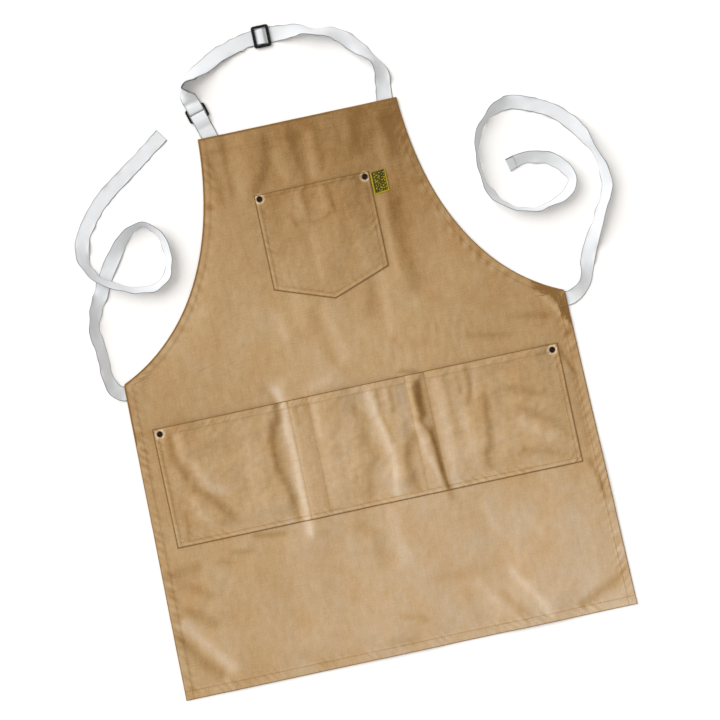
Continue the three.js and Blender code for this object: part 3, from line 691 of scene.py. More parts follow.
def spread(low, high, band, count):
    """Rows of values from low to high, at band's distances from both ends and evenly between."""
    fraction = np.linspace(0, 1, count + 1)[1:-1]
    first, last = low + band[..., -1:], high - band[..., -1:]
    return np.concatenate([low + band, first + (last - first) * fraction, (high - band)[..., ::-1]], axis=-1)


# Distances in from an edge where the cloth's grid is fine, to follow its hem and seams.
HEM_BAND = MM * np.array(
    [0, 0.4, 1, 1.8, 3, 4.5, 6.2, 7.8, 9.2, 10.2, 11, 11.6, 12.2, 12.8, 13.4, 14, 14.8, 16, 18, 21])
POCKET_BAND = MM * np.array(
    [0, 0.35, 0.8, 1.3, 1.8, 2.4, 3.2, 4.4, 5.6, 6.6, 7.2, 7.8, 8.4, 9.2, 10.4, 11.4, 12.4, 14])


def cloth_object(name, x, y, bottom, top):
    """A closed sheet over a grid of rows, top face first, with the weave's map on both faces."""
    rows, columns = x.shape
    vertices = np.concatenate([np.stack([x, y, z], -1).reshape(-1, 3) for z in (top, bottom)])
    low = rows * columns
    at = np.arange(low).reshape(rows, columns)
    quads = [np.stack([at[:-1, :-1], at[:-1, 1:], at[1:, 1:], at[1:, :-1]], -1).reshape(-1, 4)]
    quads.append(np.roll(quads[0][:, ::-1], 1, axis=1) + low)
    rim = np.concatenate([at[0, :-1], at[:-1, -1], at[-1, :0:-1], at[:0:-1, 0]])
    after = np.roll(rim, -1)
    quads.append(np.stack([rim, rim + low, after + low, after], -1))
    sheet = mesh_object(name, vertices, np.concatenate(quads).tolist())
    weave_map(sheet, vertices[:, :2])
    return sheet


# Folds, as rows for folds(): strength, half width, points, in millimetres.
PANEL_FOLDS = [
    # bib
    (-0.4, 6, [(-118, 396), (-119, 353), (-119, 318)]),
    (0.3, 13, [(-98, 395), (-98, 310)]),
    (-0.6, 9, [(-55, 388), (-60, 345), (-82, 314)]),
    (0.4, 8, [(-42, 352), (-34, 322)]),
    (-0.5, 10, [(-16, 385), (-8, 330)]),
    (0.5, 8, [(10, 378), (9, 322)]),
    (-0.3, 7, [(23, 385), (21, 330)]),
    (0.35, 7, [(66, 398), (66, 368)]),
    (-0.4, 10, [(86, 394), (76, 348)]),
    (0.5, 7, [(114, 352), (112, 315)]),
    (-0.4, 9, [(129, 380), (131, 330)]),
    (-0.5, 7, [(-140, 372), (-134, 310)]),
    # between the pockets
    (-0.7, 13, [(113, 262), (112, 200), (119, 130)]),
    (0.5, 6, [(98, 255), (97, 150)]),
    (0.4, 8, [(-57, 142), (-56, 112)]),
    (0.5, 9, [(-18, 118), (-6, 44)]),
    (-0.35, 9, [(-38, 112), (-24, 44)]),
    (0.5, 9, [(74, 148), (71, 72)]),
    (-0.5, 9, [(54, 140), (48, 100)]),
    (0.4, 9, [(-91, 122), (-86, 96)]),
    (-0.5, 5, [(182, 37), (240, 25)]),
    (-0.5, 5, [(256, 51), (300, 42)]),
    (-1.8, 4.5, [(294, 100), (311, 79), (324, 57), (335, 26)]),
    (0.8, 4, [(300, 72), (316, 50), (327, 26)]),
    # under the waist pocket's dividers
    (1.45, 9, [(-116, 15), (-110, -10), (-110, -100), (-110, -196)]),
    (-0.9, 5, [(-126, 12), (-119, -3)]),
    (-0.9, 4, [(72, 6), (92, 2)]),
    (0.4, 9, [(-66, 12), (-34, 16)]),
    (-1.0, 5, [(99, -90), (101, -150), (107, -192)]),
    # beside the waist pocket
    (-1.0, 3.5, [(309, -8), (313, -22), (322, -46)]),
    (-0.5, 6, [(322, -46), (321, -100), (320, -156)]),
    (-1.0, 3.5, [(318, -183), (325, -202), (329, -240)]),
    # skirt
    (-0.6, 10, [(-326, -220), (-290, -216)]),
    (-0.6, 8, [(-304, -240), (-276, -258)]),
    (-0.8, 9, [(-312, -276), (-280, -300)]),
    (1.1, 10, [(-322, -296), (-290, -340), (-268, -368)]),
    (-1.0, 10, [(-331, -318), (-312, -346), (-286, -376)]),
    (-0.9, 4.5, [(-190, -187), (-150, -193)]),
    (-0.7, 4.5, [(-226, -204), (-203, -208)]),
    (-0.5, 5, [(-256, -214), (-238, -218)]),
    (-0.5, 10, [(-34, -208), (-14, -224), (-12, -260)]),
    (0.4, 10, [(12, -196), (20, -262)]),
    (-0.5, 6, [(0, -350), (30, -362)]),
    (-0.5, 7, [(-22, -384), (4, -389)]),
    (-0.3, 12, [(62, -304), (150, -306)]),
    (0.9, 7, [(172, -322), (193, -354), (216, -392)]),
    (-0.7, 8, [(152, -352), (180, -388)]),
    (0.5, 8, [(118, -324), (140, -362)]),
    (-0.4, 9, [(100, -345), (110, -385)]),
    (-0.9, 8, [(266, -388), (302, -373), (336, -356)]),
    (0.4, 9, [(148, -215), (163, -250)]),
    (0.4, 8, [(208, -240), (224, -268)]),
    (-0.3, 12, [(-150, -378), (-128, -392)]),
]
# Fine lines left by the seams: height, half width, points, in millimetres.
PANEL_CREASES = [
    (0.8, 2.4, [(-2, -186), (0, -215)]),
    (0.8, 2.4, [(110, -186), (116, -210)]),
    (1.0, 2.6, [(-104, -186), (-108, -212)]),
    (0.7, 2.2, [(60, 4), (64, 60)]),
    (0.7, 2.2, [(98, 4), (94, 52)]),
    (0.7, 2.2, [(134, 2), (128, 46)]),
]
WAIST_FOLDS = [
    # left compartment
    (-0.9, 6, [(-286, -18), (-286, -47), (-278, -66), (-272, -82)]),
    (0.8, 8, [(-274, -20), (-272, -45), (-260, -64), (-254, -76), (-248, -92), (-234, -106),
              (-218, -111)]),
    (-0.9, 7, [(-262, -102), (-250, -112), (-238, -124), (-227, -140), (-216, -153)]),
    (0.6, 7, [(-268, -116), (-265, -137), (-253, -153), (-244, -166)]),
    (-0.6, 5, [(-286, -135), (-287, -168)]),
    (0.25, 14, [(-172, -40), (-170, -150)]),
    (-1.2, 7, [(-119, -5), (-121, -23), (-131, -35), (-136, -55), (-137, -93), (-129, -118), (-124, -141),
               (-123, -176)]),
    # left pencil compartment
    (-0.5, 3, [(-94, -14), (-94, -40)]),
    # centre compartment
    (0.8, 5, [(-66, -17), (-66, -60)]),
    (-0.4, 7, [(-40, -24), (-34, -52)]),
    (-0.7, 9, [(-8, -35), (2, -50), (-2, -80), (2, -100), (8, -110), (-8, -135), (-12, -165)]),
    (1.1, 8, [(18, -18), (22, -45), (26, -72), (33, -100), (33, -130), (30, -166)]),
    (-0.9, 4.5, [(29, -18), (30, -50), (37, -80), (38, -94)]),
    (0.5, 3.5, [(41, -18), (42, -40)]),
    (-0.8, 3.5, [(49, -18), (49, -48)]),
    (0.5, 4, [(63, -20), (66, -60)]),
    (-1.1, 8, [(70, -92), (60, -108), (52, -128), (56, -148), (60, -170)]),
    # right pencil compartment
    (0.4, 3.5, [(77, -16), (77, -60)]),
    (0.9, 5, [(75, -76), (81, -104), (84, -125), (91, -143), (96, -162)]),
    (-2.2, 8, [(90, -21), (90, -60)]),
    (-1.25, 3.6, [(84, -70), (95, -90), (99, -110), (100, -140), (101, -164), (106, -178)]),
    # right compartment
    (0.6, 9, [(117, -14), (118, -100), (117, -172)]),
    (0.4, 9, [(152, -90), (154, -165)]),
    (-0.4, 5, [(134, -25), (134, -60), (133, -100)]),
    (0.5, 7, [(148, -74), (148, -92)]),
    (-0.9, 4.5, [(166, -12), (168, -35), (161, -58)]),
    (0.4, 5, [(178, -16), (172, -44)]),
    (-0.4, 4, [(152, -22), (152, -42)]),
    (-0.9, 6, [(184, -58), (182, -100), (180, -115), (177, -130), (170, -142), (172, -158)]),
    (-0.7, 7, [(221, -51), (245, -62), (268, -69)]),
    (-0.6, 7, [(231, -83), (251, -97), (277, -113), (291, -131)]),
    (-0.5, 6, [(226, -145), (263, -157), (281, -166)]),
    (0.6, 8, [(228, -104), (251, -120), (268, -134)]),
]
WAIST_RIDGES = [
    (1.8, 6, [(80, -18), (81, -58), (85, -84)]),
]
CHEST_FOLDS = [
    (0.4, 5, [(-26, 298), (-24, 266)]),
    (-0.5, 4, [(-14, 298), (-12, 262)]),
    (0.4, 5, [(10, 298), (12, 264)]),
    (-0.5, 4, [(22, 298), (25, 260)]),
    (-0.4, 3, [(-40, 268), (-34, 250)]),
    (-0.4, 3, [(-22, 253), (2, 249), (18, 258)]),
    (0.5, 7, [(-12, 228), (-12, 172)]),
    (0.4, 8, [(52, 205), (53, 172)]),
    (-0.4, 12, [(-66, 296), (-64, 215)]),
    (-0.3, 10, [(66, 290), (68, 230)]),
]


def bell(x, y, place, reach):
    """1 at a place, falling to 0 round it."""
    return np.exp(-(((x - place[0]) / reach) ** 2 + ((y - place[1]) / reach) ** 2))


def box_mask(x, y, x0, x1, y0, y1, soft):
    """1 in a box and 0 outside it."""
    across = step((x - x0) / soft + 0.5) * step((x1 - x) / soft + 0.5)
    return across * step((y - y0) / soft + 0.5) * step((y1 - y) / soft + 0.5)


def hem_distances(x, y):
    """How far inside the panel's side, bottom and top edges a place is."""
    width, stretch = half_width(y)
    return (width - np.abs(x)) / stretch, y - BOTTOM_Y, TOP_Y - y


def hem_band(x, y):
    """1 on the folded hems and 0 inside them."""
    side, bottom, top = hem_distances(x, y)
    depth = np.where(y > WAIST_CORNER[1], ARM_HEM, SIDE_HEM)
    soft = 0.002
    folded = step((depth - side) / soft + 0.5)
    folded = np.maximum(folded, step((BOTTOM_HEM - bottom) / soft + 0.5))
    return np.maximum(folded, step((TOP_HEM - top) / soft + 0.5))


def seam_dip(distance, line, depth=0.0002):
    """The groove along a row of stitches, with the cloth drawn down on both sides of it."""
    away = np.abs(distance - line)
    return -depth * (0.9 * hump(away, 0.0008) + 0.35 * hump(away, 0.0032))


def rope(run, distance, depth, seed, height):
    """Slanting puckers along a hem, strongest about half its depth in from the edge."""
    skew = run + 0.8 * distance
    envelope = hump(distance - 0.55 * depth, 0.6 * depth)
    zero = np.zeros(np.shape(run))
    strength = np.clip(0.6 + 0.35 * ripples(run, zero, 0.09, seed + 1, 6), 0, 1.1)
    puckers = np.clip(ripples(skew, distance, 0.0085, seed, 10, (1, 4)), -1.4, 1.4)
    return height * strength * envelope * puckers


def hem_relief(x, y):
    """The seams' grooves and the puckers along the panel's hems."""
    side, bottom, top = hem_distances(x, y)
    arm = y > WAIST_CORNER[1]
    _, stretch = half_width(y)
    run = np.where(arm, WAIST_CORNER[1] + (y - WAIST_CORNER[1]) * stretch, y)
    relief = seam_dip(side, np.where(arm, ARM_HEM, SIDE_HEM) - HEM_SEAM)
    relief = relief + seam_dip(bottom, BOTTOM_HEM - LEVEL_SEAM) + seam_dip(top, TOP_HEM - LEVEL_SEAM, 0.0001)
    drawn = 0.00024 - 0.00007 * step((y - 0.2) / 0.08)  # less beside the bib
    relief = relief + rope(run + 0.3 * (x > 0), side, 0.016, 11, drawn)
    return relief + rope(x, bottom, 0.018, 14, 0.00022) + rope(x, top, 0.012, 17, 0.00006)


def kept_up(lift, soft):
    """The lift where it is well above 0, and never below 0."""
    return 0.5 * (lift + np.sqrt(lift ** 2 + soft ** 2))


def freed(distance, hem, reach):
    """0 on a sewn hem, rising to 1 well inside it."""
    return 1 - hump(np.maximum(distance - hem, 0), reach)


def panel_lift(x, y):
    """How far the panel's underside is off the table."""
    side, bottom, top = hem_distances(x, y)
    inside = np.minimum(np.minimum(side, bottom), top)
    lift = folds(x, y, PANEL_FOLDS)[0] + ridges(x, y, PANEL_CREASES)
    lift = lift + 0.0009 * ripples(x, y, 0.16, 3) + 0.0004 * ripples(x, y, 0.07, 4, 16, (1, 1.6))
    lift = lift + 0.0001 * ripples(x, y, 0.024, 5, 18, (1, 1.8)) + 0.00006 * ripples(x, y, 0.009, 6, 18)
    over_slot = box_mask(x, y, 0.055, 0.2, 0.004, 0.075, 0.03)  # fine puckers above the right pencil slot
    lift = lift + 0.00032 * over_slot * ripples(x, y, 0.008, 8, 12, (1, 6))
    # the cloth lies lower and flatter towards its edges, under the label and round the rivets
    lift = lift * (0.55 + 0.45 * step(inside / 0.03)) + 0.0011 + 0.0024 * step(inside / 0.045)
    lift = kept_up(lift, 0.0012)
    label_x, label_y = LABEL_PLACE
    lift = lift * (1 - 0.92 * np.exp(-(((x - label_x) / 0.021) ** 4 + ((y - label_y) / 0.026) ** 4)))
    for px, py in RIVETS.values():
        lift = lift * (1 - 0.7 * bell(x, y, (px, py), 0.011))
    # and is raised over the tapes' sewn ends
    wide = TIE_WIDTH / 2 + 0.003
    for px, py in TIE_ROOTS:
        lift = lift + 0.001 * box_mask(x, y, px - 0.011, px + 0.02, py - wide, py + wide, 0.012)
    wide = NECK_WIDTH / 2 + 0.003
    for (px, py, _), plies in zip(NECK_ROOTS, (1, 2)):
        lift = lift + 0.0009 * plies * box_mask(x, y, px - wide, px + wide, py - 0.018, py + 0.02, 0.014)
    return lift + FLOOR_CLEAR


def panel_top(x, y):
    """The height of the panel's face."""
    return panel_lift(x, y) + CLOTH + FOLDED * hem_band(x, y) + hem_relief(x, y)


def rounded_rim(distance, thickness):
    """How much of the sheet's thickness is left at a distance from its edge, for a rounded edge."""
    inward = np.clip(distance / (0.6 * thickness), 0, 1)
    return 0.14 + 0.86 * np.sqrt(1 - (1 - inward) ** 2)


def pale_ring_round_rivets(x, y):
    """A pale ring round each rivet."""
    away = [np.hypot(x - px, y - py) for px, py in RIVETS.values()]
    return sum(hump(distance - 0.006, 0.0016) for distance in away)


def make_panel():
    """The canvas body. Its tone has painted shade at its rim, in its grooves and at the waist's right corner."""
    rows, columns = 235, 195
    y = spread(np.array(BOTTOM_Y), np.array(TOP_Y), HEM_BAND, rows)
    width, stretch = half_width(y)
    x = spread(-width[:, None], width[:, None], HEM_BAND[None, :] * stretch[:, None], columns)
    y = np.repeat(y[:, None], x.shape[1], 1)
    low, high = panel_lift(x, y), panel_top(x, y)
    side, bottom, top = hem_distances(x, y)
    inside = np.maximum(np.minimum(np.minimum(side, bottom), top), 0)
    middle, half = (low + high) / 2, (high - low) / 2 * rounded_rim(inside, CLOTH + FOLDED)
    panel = cloth_object("apron_canvas", x, y, middle - half, middle + half)
    # painted shade: darker in the hems' grooves and paler on their puckers, with a thin line of painted shadow along
    # the rim
    tone = 450 * hem_relief(x, y) - 0.9 * hump(inside, 0.0009)
    # painted shadow: a wider, darker line along the left side above the waist and the top edge's left part
    painted_shadow_edge = (x < 0) & (y > -0.02) | (y > TOP_Y - 0.01) & (x < 0.05)
    tone = tone - 1.6 * painted_shadow_edge * hump(inside, 0.0017)
    # painted light and shade on the folds' slopes, and a pale ring round each rivet
    tone = tone + folds(x, y, PANEL_FOLDS)[1] + 0.7 * pale_ring_round_rivets(x, y)
    # painted shade in the folded hem at the waist's right corner, in patches
    patchy = 1 + 0.6 * ripples(x, y, 0.007, 9, 12)
    tone = tone - 0.3 * patchy * box_mask(x, y, 0.29, 0.345, 0.03, 0.1, 0.012) * hem_band(x, y)
    shade(panel, [tone, tone])
    across = half_width(y[:, 0])[0]
    area = float(np.sum((across[1:] + across[:-1]) * np.diff(y[:, 0])))
    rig.replaces(panel, "apron_panel")
    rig.slot(panel, "canvas")
    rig.ride(panel, "apron")
    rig.sheet(panel, flat=(2 * SKIRT_HALF, TOP_Y - BOTTOM_Y), held="laid", rests_on=["floor"], area=area)
    return panel


def pocket_object(name, x, y, lift, edge, mouth, mouth_hem, relief, rows, node):
    """A pocket's front over the panel. edge and mouth are the distances to its sewn edge and to its mouth."""
    soft = 0.0016
    folded = np.maximum(step((POCKET_HEM - edge) / soft + 0.5), step((mouth_hem - mouth) / soft + 0.5))
    low = panel_lift(x, y) + CLOTH + 0.0001 + lift
    high = low + POCKET_CLOTH + POCKET_FOLDED * folded + relief
    rim = np.minimum(edge, mouth)
    thick = POCKET_CLOTH + POCKET_FOLDED
    middle, half = (low + high) / 2, (high - low) / 2 * rounded_rim(np.maximum(rim, 0), thick)
    middle = middle - (high - low - 2 * half) * 0.3
    pocket = cloth_object(name, x, y, middle - half, middle + half)
    # painted shade in the seams' grooves, a thin line of painted shadow at the rim, and a painted highlight along the
    # raised edge inside the seam
    tone = 400 * relief - 1.1 * hump(rim, 0.0011) + 0.16 * hump(edge - 0.0032, 0.0011)
    # painted light and shade on the folds' slopes, and a pale ring round each rivet
    tone = tone + folds(x, y, rows + PANEL_FOLDS)[1] + 0.7 * pale_ring_round_rivets(x, y)
    shade(pocket, [tone, tone])
    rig.replaces(pocket, node)
    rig.slot(pocket, "canvas")
    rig.ride(pocket, "apron")
    return pocket


def sewn_edges(relief, side, bottom):
    """A pocket's relief with the grooves along its sides and bottom."""
    depth = 0.00028
    for line in SEAM_LINES:
        relief = relief + seam_dip(side, line, depth) + seam_dip(bottom, line, depth)
    return relief


def settle(lift):
    """A pocket front's lift, which is 0 where the cloth lies on the panel."""
    return kept_up(lift, 0.0006) - 0.0003


def chest_bottom(x):
    """The height of the chest pocket's pointed bottom edge."""
    return CHEST_PEAK + (CHEST_CORNER - CHEST_PEAK) * np.abs(x) / CHEST_HALF


def make_chest_pocket():
    """The pointed pocket's front."""
    x = spread(np.array(-CHEST_HALF), np.array(CHEST_HALF), POCKET_BAND, 62)
    low = chest_bottom(x)[:, None]
    y = spread(low, np.full_like(low, CHEST_MOUTH), np.repeat(POCKET_BAND[None, :], len(x), 0), 58).T
    x = np.repeat(x[None, :], y.shape[0], 0)
    side = CHEST_HALF - np.abs(x)
    slant = math.cos(math.atan2(CHEST_CORNER - CHEST_PEAK, CHEST_HALF))
    bottom = (y - chest_bottom(x)) * slant
    mouth = CHEST_MOUTH - y
    rise = freed(side, 0.0085, 0.02) * freed(bottom, 0.0085, 0.025)
    lift = (0.0024 + folds(x, y, CHEST_FOLDS)[0]) * rise + 0.0009 * rise * step((0.04 - mouth) / 0.04)
    lift = settle(lift + 0.0004 * ripples(x, y, 0.045, 23) * rise)
    relief = rope(y, side, 0.012, 24, 0.00013) + rope(x, bottom, 0.012, 25, 0.00013)
    relief = sewn_edges(relief + rope(x, mouth, 0.008, 26, 0.00018), side, bottom)
    relief = relief + seam_dip(mouth, CHEST_MOUTH_SEAM, 0.0001) + 0.00003 * ripples(x, y, 0.011, 27)
    edge = np.minimum(side, bottom)
    pocket = pocket_object(
        "chest_pocket_front", x, y, lift, edge, mouth, CHEST_MOUTH_HEM, relief, CHEST_FOLDS, "chest_pocket")
    area = 2 * CHEST_HALF * (CHEST_MOUTH - (CHEST_CORNER + CHEST_PEAK) / 2)
    flat = (2 * CHEST_HALF, CHEST_MOUTH - CHEST_PEAK)
    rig.sheet(pocket, flat=flat, held="laid", rests_on=["apron_canvas"], area=area)
    return pocket


def divider_rise(x):
    """0 on the divider seams, and how freely the cloth stands off between them."""
    rise = np.ones(np.shape(x))
    for seam in DIVIDERS:
        outer = (x - seam) * math.copysign(1, seam) * (1 if abs(seam) > 0.09 else -1) > 0
        reach = np.where(outer, 0.015, 0.0055)
        rise = rise * (1 - hump(x - seam, reach))
    left_slot = (x > DIVIDERS[0]) & (x < DIVIDERS[1])
    return np.where(left_slot, 0.35 * rise, rise)


def make_waist_pocket():
    """The wide pocket's front, drawn down along its four divider seams."""
    x = spread(np.array(-WAIST_HALF), np.array(WAIST_HALF), POCKET_BAND, 210)
    y = spread(np.array(WAIST_BOTTOM), np.array(WAIST_MOUTH), POCKET_BAND, 54)
    x, y = np.meshgrid(x, y)
    side, bottom, mouth = WAIST_HALF - np.abs(x), y - WAIST_BOTTOM, WAIST_MOUTH - y
    rise = divider_rise(x) * freed(side, 0.0085, 0.018) * freed(bottom, 0.008, 0.02)
    shape = folds(x, y, WAIST_FOLDS)[0] + ridges(x, y, WAIST_RIDGES)
    lift = 0.0034 * rise + shape * np.minimum(1.5 * rise, 1)
    lift = lift + 0.0014 * rise * step((0.03 - mouth) / 0.03)
    lift = settle(lift + (0.0006 * ripples(x, y, 0.05, 33) + 0.0002 * ripples(x, y, 0.02, 34)) * rise)
    relief = rope(y, side, 0.012, 35, 0.0002) + rope(x, bottom, 0.012, 36, 0.0002)
    relief = relief + rope(x, mouth, 0.013, 37, 0.0002) + 0.00004 * ripples(x, y, 0.011, 38)
    relief = sewn_edges(relief, side, bottom) + seam_dip(mouth, WAIST_MOUTH_SEAM, 0.00008)
    for seam in DIVIDERS:
        relief = relief + seam_dip(x - seam, 0, 0.00042)
    edge = np.minimum(side, bottom)
    pocket = pocket_object(
        "waist_pocket_front", x, y, lift, edge, mouth, WAIST_MOUTH_HEM, relief, WAIST_FOLDS, "waist_pocket")
    flat = (2 * WAIST_HALF, WAIST_MOUTH - WAIST_BOTTOM)
    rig.sheet(pocket, flat=flat, held="laid", rests_on=["apron_canvas"])
    return pocket


panel = make_panel()
chest_pocket = make_chest_pocket()
waist_pocket = make_waist_pocket()


# Stitches

class Surface:
    """The highest of some finished meshes at a place."""

    def __init__(self, objects):
        self.trees = [self.tree(o) for o in objects]

    def tree(self, obj):
        vertices = [v.co.copy() for v in obj.data.vertices]
        return BVHTree.FromPolygons(vertices, [tuple(p.vertices) for p in obj.data.polygons])

    def height(self, x, y):
        hits = [tree.ray_cast(Vector((x, y, 0.1)), Vector((0, 0, -1)))[0] for tree in self.trees]
        return max([hit.z for hit in hits if hit is not None], default=0.0)


cloth = Surface([panel, chest_pocket, waist_pocket])


def stitch_points(rows, pitch, draw):
    """Middle and direction of each stitch along the rows."""
    for row in rows:
        row = np.array(row, float)
        run = run_along(row)
        count = max(int(run[-1] / pitch), 1)
        for k in range(count):
            at = (k + 0.5) * run[-1] / count
            ends = [[np.interp(at + d, run, row[:, j]) for j in (0, 1)] for d in (-0.2 * pitch, 0.2 * pitch)]
            a, b = np.array(ends[0]), np.array(ends[1])
            way = (b - a) / max(np.linalg.norm(b - a), 1e-9)
            sway = draw.uniform(-0.00012, 0.00012)
            yield (a + b) / 2 + sway * np.array([-way[1], way[0]]), way


def make_stitches(name, rows, surface, seed, pitch=0.0034, length=0.0025):
    """Rows of thread, each stitch a short bead that dives into the cloth at both ends."""
    draw = random.Random(seed)
    radius, sides = 0.00026, 6
    # along the stitch in lengths, then thickness and height in radii
    beads = [(-0.5, 0.35, -0.6), (-0.36, 0.85, 0.25), (0, 1.0, 0.62), (0.36, 0.85, 0.25), (0.5, 0.35, -0.6)]
    vertices, faces = [], []
    for middle, way in stitch_points(rows, pitch, draw):
        across = np.array([-way[1], way[0]])
        ends = [surface.height(*(middle + s * length * way)) for s in (-0.5, 0, 0.5)]
        first = len(vertices)
        for along, size, up in beads:
            spot = middle + along * length * way
            z = np.interp(along, (-0.5, 0, 0.5), ends) + up * radius
            for turn in turns_of(sides):
                off = radius * size * math.cos(turn)
                vertices.append((*(spot + off * across), z + radius * size * math.sin(turn)))
        faces += tube_faces(first, len(beads), list(range(sides)), sides)
    thread = mesh_object(name, vertices, faces)
    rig.ride(thread, "apron")
    return thread


def inset_edge(distance, low, high, sign):
    """The line at a distance inside the panel's side, between two heights."""
    y = np.linspace(low, high, 120)
    width, stretch = half_width(y)
    return list(zip(sign * (width - distance * stretch), y))


def rectangle(x0, x1, y0, y1):
    """A closed row of corners."""
    return [(x0, y0), (x1, y0), (x1, y1), (x0, y1), (x0, y0)]


def turned(points, place, degrees):
    """Points turned about the origin and moved to a place."""
    c, s = math.cos(math.radians(degrees)), math.sin(math.radians(degrees))
    return [(place[0] + c * x - s * y, place[1] + s * x + c * y) for x, y in points]


def make_all_stitches():
    """Thread along the hems, round both pockets, down the dividers and over the tapes' sewn ends."""
    hems = []
    for sign in (-1, 1):
        hems.append(inset_edge(SIDE_HEM - HEM_SEAM, BOTTOM_Y + 0.002, WAIST_CORNER[1] - 0.004, sign))
        hems.append(inset_edge(ARM_HEM - HEM_SEAM, WAIST_CORNER[1] + 0.004, TOP_Y - 0.002, sign))
    along_bottom = BOTTOM_Y + BOTTOM_HEM - LEVEL_SEAM
    hems.append([(-SKIRT_HALF + 0.003, along_bottom), (SKIRT_HALF - 0.003, along_bottom)])
    along_top = TOP_Y - TOP_HEM + LEVEL_SEAM
    hems.append([(-0.149, along_top), (0.149, along_top)])
    pieces = [make_stitches("thread_hems", hems, cloth, 1)]
    along_mouth = CHEST_MOUTH - CHEST_MOUTH_SEAM
    chest = [[(-0.083, along_mouth), (0.083, along_mouth)]]
    for inset in SEAM_LINES:
        x = CHEST_HALF - inset
        corner, peak, top = CHEST_CORNER + 1.16 * inset, CHEST_PEAK + 1.06 * inset, CHEST_MOUTH - 0.001
        chest.append([(-x, top), (-x, corner), (0, peak), (x, corner), (x, top)])
    pieces.append(make_stitches("thread_chest_pocket", chest, cloth, 2))
    along_mouth = WAIST_MOUTH - WAIST_MOUTH_SEAM
    waist = [[(-0.304, along_mouth), (0.304, along_mouth)]]
    # a box of stitches at the right edge, and a stray thread at a divider's foot
    waist.append(rectangle(0.3002, WAIST_HALF - SEAM_LINES[0], WAIST_BOTTOM + SEAM_LINES[0], -0.166))
    waist.append([(0.104, WAIST_BOTTOM - 0.001), (0.107, WAIST_BOTTOM + 0.005)])
    for inset in SEAM_LINES:
        x = WAIST_HALF - inset
        low = WAIST_BOTTOM + inset
        waist.append([(-x, WAIST_MOUTH - 0.001), (-x, low), (x, low), (x, WAIST_MOUTH - 0.001)])
    for seam in DIVIDERS:
        waist.append([(seam, WAIST_MOUTH - 0.001), (seam, WAIST_BOTTOM + 0.002)])
        for side in (-0.0005, 0.0005):  # sewn again at the mouth
            waist.append([(seam + side, WAIST_MOUTH - 0.001), (seam + side, WAIST_MOUTH - 0.011)])
    pieces.append(make_stitches("thread_waist_pocket", waist, cloth, 3))
    roots = []
    for px, py in TIE_ROOTS:
        inward = math.copysign(0.001, px)
        roots.append(turned(rectangle(-0.0042, 0.0042, -0.009, 0.009), (px - inward, py), 0))
    for px, py, heading in NECK_ROOTS:
        roots.append(turned(rectangle(-0.005, 0.002, -0.01, 0.01), (px, py), heading))
    pieces.append(make_stitches("thread_tape_roots", roots, cloth, 4, 0.0026, 0.0019))
    return pieces


threads = make_all_stitches()


# Hardware

def rounded_loop(length, width, radius, steps=8):
    """Points round a rectangle with round corners, and the way each faces."""
    loop = []
    for quarter in range(4):
        cx = (length / 2 - radius) * (1 if quarter in (0, 3) else -1)
        cy = (width / 2 - radius) * (1 if quarter in (0, 1) else -1)
        for k in range(steps + 1):
            turn = math.pi / 2 * (quarter + k / steps)
            loop.append((cx + radius * math.cos(turn), cy + radius * math.sin(turn), turn))
    return loop


def ring_of(sections):
    """Faces that join each closed section to the next, all the way round."""
    faces = []
    n, m = len(sections), len(sections[0])
    for i in range(n):
        for k in range(m):
            a, b = i * m + k, i * m + (k + 1) % m
            c, d = (i + 1) % n * m + (k + 1) % m, (i + 1) % n * m + k
            faces.append((a, d, c, b))
    return faces


def make_slider():
    """The moulded slider: a rounded frame, dished along its side bars, with a ribbed lower bar across it."""
    outer = rounded_loop(26 * MM, 33 * MM, 3.5 * MM)
    inner = rounded_loop(17 * MM, 26 * MM, 1.0 * MM)
    base = 2.3 * MM
    # across the frame's side, from its outside at 0 to its inside at 1, and height in millimetres
    section = [
        (0, 0.7), (0, 1.7), (0.04, 2.12), (0.14, 2.36), (0.26, 2.4), (0.4, 2.2), (0.6, 2.2), (0.74, 2.4),
        (0.86, 2.36), (0.96, 2.12), (1, 1.7), (1, 0.7), (0.95, 0.25), (0.82, 0.03), (0.18, 0.03),
        (0.05, 0.25),
    ]
    sections = []
    for (ox, oy, _), (ix, iy, _) in zip(outer, inner):
        sections.append([(ox + t * (ix - ox), oy + t * (iy - oy), base + z * MM) for t, z in section])
    vertices = [point for row in sections for point in row]
    faces = ring_of(sections)
    bar = [
        (-2, 0.5), (-1.6, 0.1), (1.6, 0.1), (2, 0.5), (2, 1.1), (1.6, 1.5), (0.9, 1.6), (0.45, 1.42),
        (-0.45, 1.42), (-0.9, 1.6), (-1.6, 1.5), (-2, 1.1),
    ]
    first, sections = len(vertices), 15
    for y in np.linspace(-14, 14, sections):
        vertices += [(x * MM, y * MM, base + z * MM) for x, z in bar]
    faces += tube_faces(first, sections, list(range(len(bar))), len(bar))
    slider = mesh_object("slider_moulding", vertices, faces)
    slider.data.transform(Matrix.Translation(SLIDER))
    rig.replaces(slider, "neck_slider")
    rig.slot(slider, "black_plastic")
    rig.ride(slider, "slider")
    return slider


def make_ring():
    """The ring: round rod bent into a rectangle, with the mould's parting line round its outside."""
    rod = 1.5 * MM
    loop = rounded_loop(19 * MM, 28.6 * MM, 2.4 * MM)
    sections = []
    for x, y, turn in loop:
        row = []
        for k, around in enumerate(turns_of(20)):
            radius = rod * (1.04 if k in (0, 10) else 1.0)
            out = radius * math.cos(around)
            row.append((x + out * math.cos(turn), y + out * math.sin(turn), radius * math.sin(around)))
        sections.append(row)
    ring = mesh_object("ring_moulding", [point for row in sections for point in row], ring_of(sections))
    ring.data.transform(Matrix.Translation(RING) @ Matrix.Rotation(RING_HEADING, 4, "Z"))
    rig.replaces(ring, "neck_ring")
    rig.slot(ring, "black_plastic")
    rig.ride(ring, "ring")
    return ring


